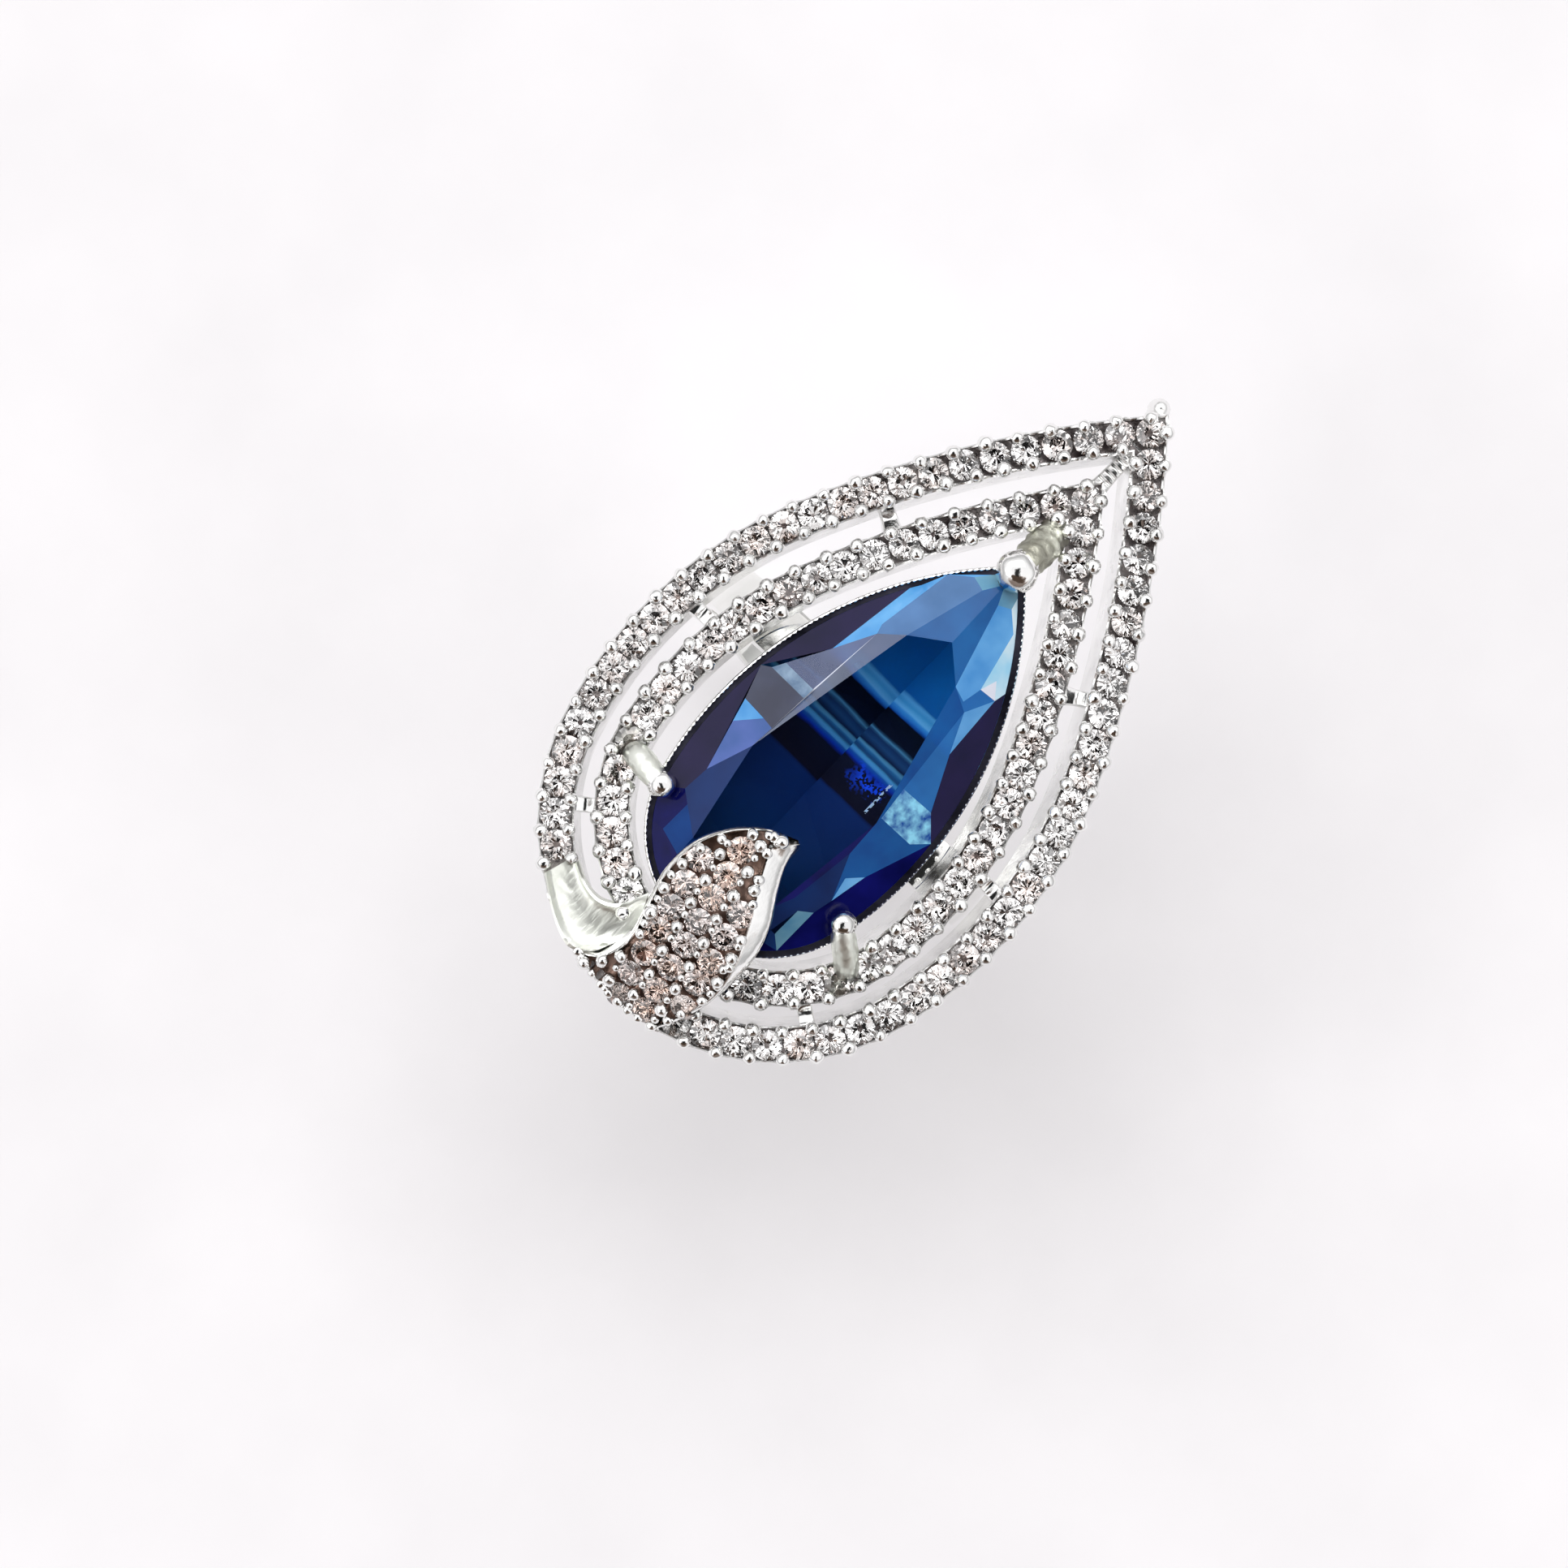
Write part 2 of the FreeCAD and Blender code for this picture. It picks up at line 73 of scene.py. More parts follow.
# ---- sizes, mm
HEAD_X = -0.57
RAIL_WIDTH = 1.6
RAIL_MIDDLE = -RAIL_WIDTH / 2
DRAFT = 0.15
PITCH = 1.36
CHANNEL_DEPTH = 0.5
HALO_STONE_RADIUS, HALO_BEAD_RADIUS = 0.672, 0.335
LEAF_STONE_RADIUS, LEAF_BEAD_RADIUS, EDGE_BEAD_RADIUS, SMALL_BEAD_RADIUS = 0.6, 0.3, 0.25, 0.19
RAIL_LOW, RAIL_TOP = heights("outer_halo_frame")
KEEL_Z, TABLE_Z = heights("centre_stone")
GIRDLE_Z = TABLE_Z - 1.28
HOLD_Z = GIRDLE_Z + 0.72
RIM_LOW, RIM_TOP = heights("stone_seat_rim")
RIM_GAP = 0.2
FINGER_RADIUS = 9.05
BAND_RADIUS = box_mm("shank_band")[1][1]
SHANK_TOP = heights("shank_band")[1]
LEAF_RADIUS, LEAF_CREST, LEAF_THICK, LEAF_FULL_WIDTH = 16.4, -6.0, 1.0, 2.1
LEAF_TOP = heights("leaf_tray")[1]
VIEW_TURN = math.radians(46.3)


class Pear:
    """Pear outline of three tangent arcs a side, in the head's own frame."""

    def __init__(self, centre, radii, turns):
        self.radii = radii
        first, second = (math.radians(turn) for turn in turns)
        step = radii[0] - radii[1]
        side = (centre + step * math.cos(first), step * math.sin(first))
        step = radii[1] - radii[2]
        flank = (side[0] + step * math.cos(second), side[1] + step * math.sin(second))
        self.centres = [(centre, 0.0), side, flank]
        self.stops = [math.pi, first, second]

    def tip_angle(self, offset):
        """Angle on the last arc at which the two sides meet."""
        return math.asin(-self.centres[2][1] / (self.radii[2] + offset))

    def at(self, arc, angle, offset, side):
        radius = self.radii[arc] + offset
        x = self.centres[arc][0] + radius * math.cos(angle)
        y = self.centres[arc][1] + radius * math.sin(angle)
        return x, side * y

    def lengths(self, offset):
        """Length of each arc of an offset line."""
        stops = self.stops + [self.tip_angle(offset)]
        return [(self.radii[k] + offset) * (stops[k] - stops[k + 1]) for k in range(3)]

    def spot(self, distance, base, offset):
        """Point at a distance along the base offset line, moved to another offset."""
        side = 1 if distance >= 0 else -1
        left = abs(distance)
        for arc, length in enumerate(self.lengths(base)):
            if left <= length or arc == 2:
                break
            left -= length
        angle = self.stops[arc] - left / (self.radii[arc] + base)
        if arc == 2:
            span = self.stops[2] - self.tip_angle(base)
            share = min(1.0, (self.stops[2] - angle) / span)
            angle = self.stops[2] - share * (self.stops[2] - self.tip_angle(offset))
        return self.at(arc, angle, offset, side)

    def section(self, distance, base, profile, at_tip):
        """Points of an (offset, z) profile at a distance; at the tip they lie on the middle line."""
        points = []
        for offset, z in profile:
            x, y = self.spot(distance, base, offset)
            points.append((x, 0.0 if at_tip else y, z))
        return points


outer = Pear(centre=-4.24, radii=(10.37, 19.95, 53.0), turns=(105.5, 66.0))
inner = Pear(centre=-3.96, radii=(8.15, 18.1, 47.0), turns=(100.0, 67.5))
girdle = Pear(centre=-4.7, radii=(5.08, 17.4, 17.0), turns=(102.9, 68.7))


# ---- mesh tools
MERGE_GAP = 2e-7
STEM_SIDES = 10


def link_object(name, data):
    obj = bpy.data.objects.new(name, data)
    bpy.context.scene.collection.objects.link(obj)
    return obj


class Bag:
    """Vertices in the head's frame, mm, and faces, gathered for one object."""

    def __init__(self):
        self.verts, self.faces = [], []

    def add(self, verts, faces):
        base = len(self.verts)
        self.verts.extend(verts)
        self.faces.extend([tuple(i + base for i in face) for face in faces])

    def cap(self, points):
        """One face through the points."""
        self.add(points, [tuple(range(len(points)))])

    def grid(self, rows, closed=False):
        """Rows of points joined into quads; closed also joins each row's end to its start."""
        width = len(rows[0])
        faces = []
        for i in range(len(rows) - 1):
            here, below = i * width, (i + 1) * width
            for j in range(width if closed else width - 1):
                after = (j + 1) % width
                faces.append((here + j, here + after, below + after, below + j))
        self.add([point for row in rows for point in row], faces)

    def make(self, name, material, origin=HEAD_X, smooth=True, sharp=None):
        """Object from what was gathered; edges above `sharp` degrees stay crisp."""
        mesh = bpy.data.meshes.new(name)
        mesh.from_pydata([((x + origin) * MM, y * MM, z * MM) for x, y, z in self.verts], [], self.faces)
        mesh.validate()
        work = bmesh.new()
        work.from_mesh(mesh)
        bmesh.ops.remove_doubles(work, verts=work.verts, dist=MERGE_GAP)
        bmesh.ops.recalc_face_normals(work, faces=work.faces)
        work.to_mesh(mesh)
        work.free()
        for poly in mesh.polygons:
            poly.use_smooth = smooth
        if smooth and sharp:
            mesh.set_sharp_from_angle(angle=math.radians(sharp))
        mesh.materials.append(material)
        return link_object(name, mesh)


def sheet(rows, closed=False):
    """Bag that holds one grid."""
    bag = Bag()
    bag.grid(rows, closed)
    return bag


def ball(bag, centre, radius, segments=16, rings=10, squash=1.0, wobble=0.0):
    """Slightly uneven round bead."""
    rows = []
    seed = Vector((rng.random() * 9, rng.random() * 9, rng.random() * 9))
    for i in range(rings + 1):
        polar = math.pi * i / rings
        row = []
        for j in range(segments):
            turn = 2 * math.pi * j / segments
            way = Vector((math.sin(polar) * math.cos(turn), math.sin(polar) * math.sin(turn),
                          math.cos(polar)))
            grow = 1 + wobble * noise.noise(way * 1.6 + seed)
            row.append((centre[0] + way.x * radius * grow, centre[1] + way.y * radius * grow,
                        centre[2] + way.z * radius * grow * squash))
        rows.append(row)
    bag.grid(rows, closed=True)


def wire(path, radii, segments, gnarl=0.0):
    """Rings of points round a path, each with its own radius; gnarl makes them lumpy."""
    rings = []
    for i, spot in enumerate(path):
        ahead = (path[min(i + 1, len(path) - 1)] - path[max(i - 1, 0)]).normalized()
        across = ahead.cross(Vector((0, 1, 0.13))).normalized()
        other = ahead.cross(across)
        ring = []
        for j in range(segments):
            turn = 2 * math.pi * j / segments
            way = across * math.cos(turn) + other * math.sin(turn)
            lump = 1 + gnarl * noise.noise((spot + way * 0.5) * 3.6)
            ring.append(tuple(spot + way * radii[i] * lump))
        rings.append(ring)
    return rings


def stemmed_bead(bag, foot, top, radius, wobble, stem_radii):
    """Ball on a short stem."""
    ball(bag, top, radius, wobble=wobble)
    bag.grid(wire([Vector(foot), Vector(top)], stem_radii, STEM_SIDES), closed=True)


def smooth_path(points, steps):
    """Catmull-Rom curve through the points."""
    pts = [Vector(p) for p in points]
    ends = [pts[0] * 2 - pts[1]] + pts + [pts[-1] * 2 - pts[-2]]
    out = []
    for i in range(1, len(ends) - 2):
        a, b, c, d = ends[i - 1], ends[i], ends[i + 1], ends[i + 2]
        for k in range(steps):
            t = k / steps
            out.append(0.5 * ((2 * b) + (c - a) * t + (2 * a - 5 * b + 4 * c - d) * t * t
                              + (3 * b - a - 3 * c + d) * t ** 3))
    out.append(pts[-1])
    return out
def flat_path(points, steps):
    """Catmull-Rom curve through plan points."""
    return smooth_path([(x, y, 0) for x, y in points], steps)


def ease(value, low, high):
    """Smooth rise from 0 at low to 1 at high."""
    share = max(0.0, min(1.0, (value - low) / (high - low)))
    return share * share * (3 - 2 * share)


# ---- materials
CLOUD_SCALE = 420
GRAIN_DEPTH = 0.05 * MM


def new_material(name):
    material = bpy.data.materials.new(name)
    material.use_nodes = True
    tree = material.node_tree
    return material, tree, tree.nodes["Principled BSDF"]


def set_inputs(node, **values):
    """Plain values for a node's inputs; an underscore stands for a space in an input's name."""
    for name, value in values.items():
        node.inputs[name.replace("_", " ")].default_value = value


def ramp_node(tree, source, stops):
    """Colour ramp over a value."""
    ramp = tree.nodes.new("ShaderNodeValToRGB")
    while len(ramp.color_ramp.elements) < len(stops):
        ramp.color_ramp.elements.new(0.5)
    for element, (place, colour) in zip(ramp.color_ramp.elements, stops):
        element.position = place
        element.color = (*colour, 1)
    tree.links.new(source, ramp.inputs["Fac"])
    return ramp.outputs["Color"]


def noise_node(tree, scale, detail, stretch=(1, 1, 1), roughness=0.5):
    coords = tree.nodes.new("ShaderNodeTexCoord")
    mapping = tree.nodes.new("ShaderNodeMapping")
    set_inputs(mapping, Scale=stretch)
    texture = tree.nodes.new("ShaderNodeTexNoise")
    set_inputs(texture, Scale=scale, Detail=detail, Roughness=roughness)
    tree.links.new(coords.outputs["Object"], mapping.inputs["Vector"])
    tree.links.new(mapping.outputs["Vector"], texture.inputs["Vector"])
    return texture
def range_node(tree, value, source, target, smooth=False):
    """Value moved from one range to another."""
    node = tree.nodes.new("ShaderNodeMapRange")
    if smooth:
        node.interpolation_type = "SMOOTHSTEP"
    for socket, number in zip(("From Min", "From Max", "To Min", "To Max"), (*source, *target)):
        node.inputs[socket].default_value = number
    tree.links.new(value, node.inputs["Value"])
    return node.outputs["Result"]


def mix_node(tree, factor, base, colour):
    """Blend from a base, given as a socket or a colour, to a colour."""
    node = tree.nodes.new("ShaderNodeMix")
    node.data_type = "RGBA"
    tree.links.new(factor, node.inputs["Factor"])
    if isinstance(base, tuple):
        node.inputs["A"].default_value = (*base, 1)
    else:
        tree.links.new(base, node.inputs["A"])
    node.inputs["B"].default_value = (*colour, 1)
    return node.outputs["Result"]


def calc(tree, kind, *values):
    """One math node on sockets or numbers."""
    node = tree.nodes.new("ShaderNodeMath")
    node.operation = kind
    for socket, value in zip(node.inputs, values):
        if isinstance(value, (int, float)):
            socket.default_value = value
        else:
            tree.links.new(value, socket)
    return node.outputs[0]


def tint(tree, shader, texture, stops):
    """Base colour from a ramp over a texture."""
    tree.links.new(ramp_node(tree, texture.outputs["Fac"], stops), shader.inputs["Base Color"])


def metal(name, light, dark, rough, bump, grain, stretch=(1, 1, 1), spread=0.05):
    """Rhodium plate with cloudy polish, fine grain and wear."""
    material, tree, shader = new_material(name)
    set_inputs(shader, Metallic=1.0)
    tint(tree, shader, noise_node(tree, CLOUD_SCALE, 4, stretch), [(0.35, dark), (0.62, light)])
    fine = noise_node(tree, grain, 5, stretch, 0.6).outputs["Fac"]
    wear = range_node(tree, fine, (0.3, 0.7), (rough, rough + spread))
    tree.links.new(wear, shader.inputs["Roughness"])
    relief = tree.nodes.new("ShaderNodeBump")
    set_inputs(relief, Strength=bump, Distance=GRAIN_DEPTH)
    tree.links.new(fine, relief.inputs["Height"])
    tree.links.new(relief.outputs["Normal"], shader.inputs["Normal"])
    return material


def small_stone_material(name, colour, deep, blush):
    """Clear cut stone; here and there one is darker or a little pink."""
    material, tree, shader = new_material(name)
    set_inputs(shader, Transmission_Weight=1.0, IOR=2.1, Roughness=0.0)
    stops = [(0.3, deep), (0.38, blush), (0.46, colour), (0.62, colour), (0.74, deep)]
    tint(tree, shader, noise_node(tree, 620, 2), stops)
    return material


def glass(name, light, dark, clear, rough=0.02, ior=1.5, mottle=CLOUD_SCALE, shine=0.2):
    """Blue glass facet with painted reflection: a cloudy tint, light or dark as the reflection on that facet,
    partly see-through.
    """
    material, tree, shader = new_material(name)
    set_inputs(shader, Transmission_Weight=clear, IOR=ior, Specular_IOR_Level=shine)
    tint(tree, shader, noise_node(tree, mottle, 3), [(0.34, dark), (0.64, light)])
    haze = noise_node(tree, 900, 2).outputs["Fac"]
    tree.links.new(range_node(tree, haze, (0, 1), (rough, rough + 0.03)), shader.inputs["Roughness"])
    return material


# painted light and shade across the stone's far side, the stripes seen through the stone, by place along the
# stone in mm
PAINTED_BANDS = [
    (-9.0, (0.004, 0.014, 0.085)), (-6.0, (0.004, 0.034, 0.13)), (-3.0, (0.004, 0.024, 0.12)),
    (-1.5, (0.005, 0.026, 0.135)), (-1.42, (0.006, 0.007, 0.02)), (0.05, (0.005, 0.008, 0.026)),
    (0.15, (0.003, 0.03, 0.42)), (0.36, (0.01, 0.1, 0.42)), (0.44, (0.08, 0.36, 0.72)),
    (0.6, (0.05, 0.26, 0.52)), (0.68, (0.006, 0.03, 0.12)), (0.84, (0.02, 0.14, 0.36)),
    (0.96, (0.09, 0.34, 0.58)), (1.06, (0.003, 0.012, 0.05)), (1.3, (0.012, 0.06, 0.18)),
    (1.62, (0.006, 0.03, 0.11)), (1.74, (0.06, 0.24, 0.44)), (1.84, (0.002, 0.006, 0.022)),
    (2.8, (0.001, 0.004, 0.014)), (2.9, (0.008, 0.11, 0.52)), (3.12, (0.04, 0.3, 0.75)),
    (3.22, (0.14, 0.52, 0.9)), (3.48, (0.05, 0.32, 0.68)), (3.74, (0.1, 0.42, 0.78)),
    (3.84, (0.004, 0.12, 0.42)), (6.0, (0.006, 0.16, 0.5)), (10.0, (0.03, 0.28, 0.66))]


def sparkle(tree, along, across, speck):
    """1 on the specks of a ragged spot of painted sparkle near the middle of the stone."""
    flat = tree.nodes.new("ShaderNodeCombineXYZ")
    tree.links.new(along, flat.inputs["X"])
    tree.links.new(calc(tree, "MULTIPLY", across, 0.55), flat.inputs["Y"])
    shake = tree.nodes.new("ShaderNodeVectorMath")
    shake.operation = "MULTIPLY_ADD"
    tree.links.new(noise_node(tree, 1500, 2).outputs["Color"], shake.inputs[0])
    shake.inputs[1].default_value = (MM, MM, 0)
    tree.links.new(flat.outputs["Vector"], shake.inputs[2])
    spot = tree.nodes.new("ShaderNodeVectorMath")
    spot.operation = "DISTANCE"
    tree.links.new(shake.outputs["Vector"], spot.inputs[0])
    spot.inputs[1].default_value = ((0.2 + HEAD_X) * MM, -0.45 * MM, 0)
    near = range_node(tree, spot.outputs["Value"], (0.12 * MM, 0.65 * MM), (1, 0))
    return calc(tree, "MULTIPLY", near, speck)


def dashed_line(tree, along, across, speck):
    """1 on the specks of a short line of painted bright dashes along the stone."""
    aside = calc(tree, "ABSOLUTE", calc(tree, "ADD", across, 2.4 * MM))
    beyond = calc(tree, "ABSOLUTE", calc(tree, "SUBTRACT", along, (-0.45 + HEAD_X) * MM))
    line = calc(tree, "MULTIPLY", calc(tree, "LESS_THAN", aside, 0.06 * MM),
                calc(tree, "LESS_THAN", beyond, 0.85 * MM))
    return calc(tree, "MULTIPLY", line, speck)


def backing_material():
    """Far side of the stone: the stone's blue with painted light and shade, navy round end, azure point,
    light and dark bands across the middle, a painted sparkle and painted bright dashes.
    """
    material, tree, shader = new_material("blue_depth_painted_light")
    coords = tree.nodes.new("ShaderNodeTexCoord").outputs["Object"]
    split = tree.nodes.new("ShaderNodeSeparateXYZ")
    tree.links.new(coords, split.inputs["Vector"])
    along, across = split.outputs["X"], split.outputs["Y"]
    below = calc(tree, "LESS_THAN", across, 0.0)
    ripple = noise_node(tree, 900, 4, (1.0, 0.16, 0.3), 0.6)
    place = calc(tree, "SUBTRACT", along, HEAD_X * MM)
    place = calc(tree, "MULTIPLY_ADD", below, -0.22 * MM, place)
    place = calc(tree, "MULTIPLY_ADD", ripple.outputs["Fac"], 0.5 * MM, place)
    first, last = -10.0, 11.0
    place = range_node(tree, place, (first * MM, last * MM), (0, 1))
    colour = ramp_node(tree, place, [((x - first) / (last - first), shade) for x, shade in PAINTED_BANDS])
    grains = tree.nodes.new("ShaderNodeTexVoronoi")
    set_inputs(grains, Scale=9000)
    tree.links.new(coords, grains.inputs["Vector"])
    speck = calc(tree, "GREATER_THAN", grains.outputs["Color"], 0.5)
    colour = mix_node(tree, sparkle(tree, along, across, speck), colour, (0.01, 0.08, 0.9))
    colour = mix_node(tree, dashed_line(tree, along, across, speck), colour, (0.45, 0.65, 0.85))
    tree.links.new(colour, shader.inputs["Base Color"])
    set_inputs(shader, Roughness=0.4, Specular_IOR_Level=0.02)
    return material


PLATE = metal("rhodium_plate", (0.93, 0.93, 0.92), (0.8, 0.8, 0.79), 0.08, 0.45, 1400)
BEAD = metal("burnished_beads", (0.94, 0.94, 0.93), (0.8, 0.8, 0.79), 0.05, 0.2, 1500, spread=0.04)
RAIL_METAL = metal("rail_metal", (0.95, 0.95, 0.94), (0.8, 0.8, 0.79), 0.17, 1.0, 1300, spread=0.12)
# dark brown metal for the leaf's sunk field: painted shade between the stones, with a painted brown
# reflection
FIELD_SHADE = metal("leaf_field_painted_shade", (0.34, 0.23, 0.19), (0.12, 0.07, 0.05), 0.25, 0.8, 1300, spread=0.12)
# darker metal for the floor of the stone channel: painted shade in the recess under the stones
CHANNEL_SHADE = metal("stone_channel_painted_shade", (0.42, 0.39, 0.38), (0.1, 0.08, 0.08), 0.22, 1.0, 2600, spread=0.12)
NECK = metal("grainy_neck", (0.66, 0.67, 0.58), (0.3, 0.29, 0.23), 0.3, 1.5, 2300, spread=0.12)
SATIN = metal("satin_curl", (0.94, 0.96, 0.9), (0.82, 0.85, 0.77), 0.3, 1.2, 700, (0.35, 1.6, 1), 0.12)
SHANK_METAL = metal("shank_metal", (0.92, 0.92, 0.9), (0.82, 0.83, 0.8), 0.03, 0.06, 1000, spread=0.08)
# the stone's blue, each facet painted with the reflection it shows: light facets are painted highlights,
# night and ink facets painted dark reflections
PAINTED_FACETS = {
    "table": glass("blue_table", (0.9, 0.94, 1.0), (0.82, 0.88, 1.0), 1.0, 0.0, 1.2),
    "frost": glass("blue_frost", (0.24, 0.3, 0.52), (0.12, 0.15, 0.28), 0.62, 0.01, 1.3, 240, 0.3),
    "star": glass("blue_star", (0.3, 0.36, 0.52), (0.18, 0.23, 0.36), 0.62, 0.01, 1.3, 300, 0.3),
    "slate": glass("blue_slate", (0.05, 0.062, 0.115), (0.03, 0.036, 0.07), 0.2, 0.02, shine=0.15),
    "streak": glass("blue_streak", (0.26, 0.38, 0.52), (0.1, 0.18, 0.3), 0.2, 0.02,
                    mottle=1500, shine=0.15),
    # painted glint
    "white": glass("blue_painted_glint", (0.85, 0.88, 0.95), (0.7, 0.74, 0.86), 0.1, 0.1),
    "night": glass("blue_night", (0.014, 0.01, 0.056), (0.008, 0.007, 0.036), 0.1, 0.03, shine=0.06),
    "ink": glass("blue_ink", (0.005, 0.006, 0.12), (0.002, 0.003, 0.055), 0.1, 0.02, shine=0.06),
    "navy": glass("blue_navy", (0.003, 0.028, 0.14), (0.002, 0.018, 0.1), 0.15, shine=0.06),
    "dusk": glass("blue_dusk", (0.01, 0.06, 0.25), (0.006, 0.036, 0.17), 0.15, shine=0.08),
    "azure": glass("blue_azure", (0.002, 0.1, 0.36), (0.001, 0.06, 0.27), 0.2, shine=0.05),
    "lake": glass("blue_lake", (0.02, 0.18, 0.52), (0.012, 0.13, 0.42), 0.2, shine=0.08),
    "mid": glass("blue_mid", (0.01, 0.15, 0.44), (0.005, 0.1, 0.33), 0.3, shine=0.1),
    "haze": glass("blue_haze", (0.075, 0.22, 0.5), (0.045, 0.16, 0.38), 0.25),
    "sky": glass("blue_sky", (0.16, 0.48, 0.88), (0.06, 0.3, 0.7), 0.2),
    "violet": glass("blue_violet", (0.13, 0.2, 0.58), (0.07, 0.15, 0.42), 0.3),
    "pale": glass("blue_pale", (0.24, 0.48, 0.6), (0.1, 0.3, 0.48), 0.2, 0.05),
    # painted bright highlight
    "glow": glass("blue_painted_glow", (0.92, 0.96, 0.93), (0.36, 0.7, 0.92), 0.1, 0.04, 1.5, 380),
    "ice": glass("blue_ice", (0.3, 0.75, 0.98), (0.003, 0.06, 0.34), 0.15, 0.05, 1.5, 1900, 0.08),
    "back": backing_material(),
}
# near-black strip for the gap between rim and stone: painted shade
SHADE_STRIP = metal("painted_shade_strip", (0.035, 0.035, 0.05), (0.006, 0.006, 0.01), 0.45, 0.8, 1600)
CLEAR = small_stone_material("clear_stones", (0.9, 0.89, 0.88), (0.62, 0.58, 0.56), (0.86, 0.72, 0.66))
# darker pinkish-brown copy of the clear stones: a pinkish tone with painted shade and painted brown
# reflections for the tilted leaf
CHAMPAGNE_AND_SHADE = small_stone_material("champagne_stones", (0.8, 0.71, 0.68), (0.46, 0.34, 0.3),
                                 (0.7, 0.49, 0.39))


def finish_piece(obj, slot, *nodes):
    """Fix a piece to the body and hide the CAD nodes it stands for; slot is not used."""
    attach(obj, "root")
    if nodes:
        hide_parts(*nodes)


def repaint(obj, material, chosen):
    """Second material on the chosen faces."""
    obj.data.materials.append(material)
    for face in obj.data.polygons:
        if chosen(face):
            face.material_index = 1


# ---- halo rails
def stone_count(pear):
    """Length of one side of a halo's row of stones, and how many stones it holds."""
    half = sum(pear.lengths(RAIL_MIDDLE))
    return half, int(round(half / PITCH))


def rail(pear, name, node, nub=None):
    """Rail with a stone channel; its rims dip at every stone and rise at every bead."""
    half, count = stone_count(pear)
    steps = 12
    total = count * steps
    inside = -RAIL_WIDTH
    floor = RAIL_TOP - CHANNEL_DEPTH
    rows = []
    for k in range(-total, total + 1):
        phase = abs(k) / steps
        lift = (0.5 - 0.5 * math.cos(2 * math.pi * phase)) ** 1.5
        dip = 0.26 * (1 - lift)
        flare = 0.05 * lift
        rim = [
            (0.0, RAIL_TOP - 0.62), (flare - 0.02, RAIL_TOP - 0.3 - dip * 0.4),
            (flare - 0.03, RAIL_TOP - 0.05 - dip), (-0.09, RAIL_TOP - dip), (-0.16, RAIL_TOP - 0.03 - dip),
            (-0.19, floor)]
        mirrored = [(inside - offset, z) for offset, z in reversed(rim)]
        profile = [(-0.04, RAIL_LOW), (0.0, RAIL_LOW + 0.06), *rim, (RAIL_MIDDLE, floor - 0.06), *mirrored,
                   (inside - DRAFT, RAIL_LOW + 0.06), (inside - DRAFT + 0.04, RAIL_LOW)]
        rows.append(pear.section(half * k / total, RAIL_MIDDLE, profile, abs(k) == total))
    bag = sheet(rows, closed=True)
    if nub:
        ball(bag, nub, 0.5, squash=1.5)
    obj = bag.make(name, RAIL_METAL, sharp=38)
    # the channel floor under the stones gets the darker metal: painted shade
    low, high = (RAIL_TOP - 0.75) * MM, (RAIL_TOP - 0.36) * MM
    repaint(obj, CHANNEL_SHADE, lambda face: abs(face.normal.z) > 0.4 and low < face.center.z < high)
    finish_piece(obj, "head_metal", node)


rail(outer, "outer_halo_rail", "outer_halo_frame", nub=(20.35, 0.4, RAIL_TOP - 1.5))
rail(inner, "inner_halo_rail", "inner_halo_frame")


# ---- small stones
def brilliant(radius):
    """Round brilliant, hand-cut uneven: table, stars, kites, girdle facets and pavilion; girdle at z 0."""
    table = rng.uniform(0.46, 0.6) * radius
    crown, pavilion = 0.3 * radius, rng.uniform(0.72, 0.98) * radius
    verts, faces = [], []

    def ring(count, r, z, phase, shake=0.0):
        start = len(verts)
        for k in range(count):
            turn = 2 * math.pi * (k + phase) / count
            reach = r * (1 + rng.uniform(-shake, shake))
            height = z + radius * rng.uniform(-shake, shake) * 0.4
            verts.append((reach * math.cos(turn), reach * math.sin(turn), height))
        return [start + k for k in range(count)]

    top = ring(8, table, crown, 0.0)
    star = ring(8, radius * 0.8, crown * 0.52, 0.5, 0.06)
    edge = ring(16, radius, 0.03 * radius, 0.0)
    under = ring(16, radius, -0.03 * radius, 0.0)
    belt = ring(8, radius * rng.uniform(0.38, 0.5), -pavilion * 0.62, 0.5, 0.16)
    culet = len(verts)
    verts.append((radius * rng.uniform(-0.1, 0.1), radius * rng.uniform(-0.1, 0.1), -pavilion))
    faces.append(tuple(top))
    for k in range(8):
        after = (k + 1) % 8
        before = (k - 1) % 8
        faces.append((top[k], star[k], top[after]))
        faces.append((top[k], star[before], edge[2 * k], star[k]))
        faces.append((star[k], edge[2 * k], edge[2 * k + 1]))
        faces.append((star[k], edge[2 * k + 1], edge[(2 * k + 2) % 16]))
        faces.append((culet, belt[k], under[2 * k], belt[before]))
        faces.append((belt[k], under[2 * k], under[2 * k + 1]))
        faces.append((belt[k], under[2 * k + 1], under[(2 * k + 2) % 16]))
    for k in range(16):
        faces.append((edge[k], under[k], under[(k + 1) % 16], edge[(k + 1) % 16]))
    return verts, faces


def set_stone(bag, spot, normal, radius):
    """A brilliant at a spot, turned and tilted a little at random."""
    verts, faces = brilliant(radius)
    tilt = rng.uniform(-0.09, 0.09)
    hinge = Vector((rng.uniform(-1, 1), rng.uniform(-1, 1), 0.01)).normalized()
    lean = Matrix.Rotation(tilt, 4, hinge)
    spin = Matrix.Rotation(rng.uniform(0, math.pi), 4, "Z")
    align = Vector((0, 0, 1)).rotation_difference(normal).to_matrix().to_4x4()
    place = Matrix.Translation(spot) @ align @ lean @ spin
    bag.add([tuple(place @ Vector(v)) for v in verts], faces)
def hidden(x, y, upper):
    """True for halo places lying right under the leaf or the curl."""
    return x < -9.0 and -2.35 < y < upper


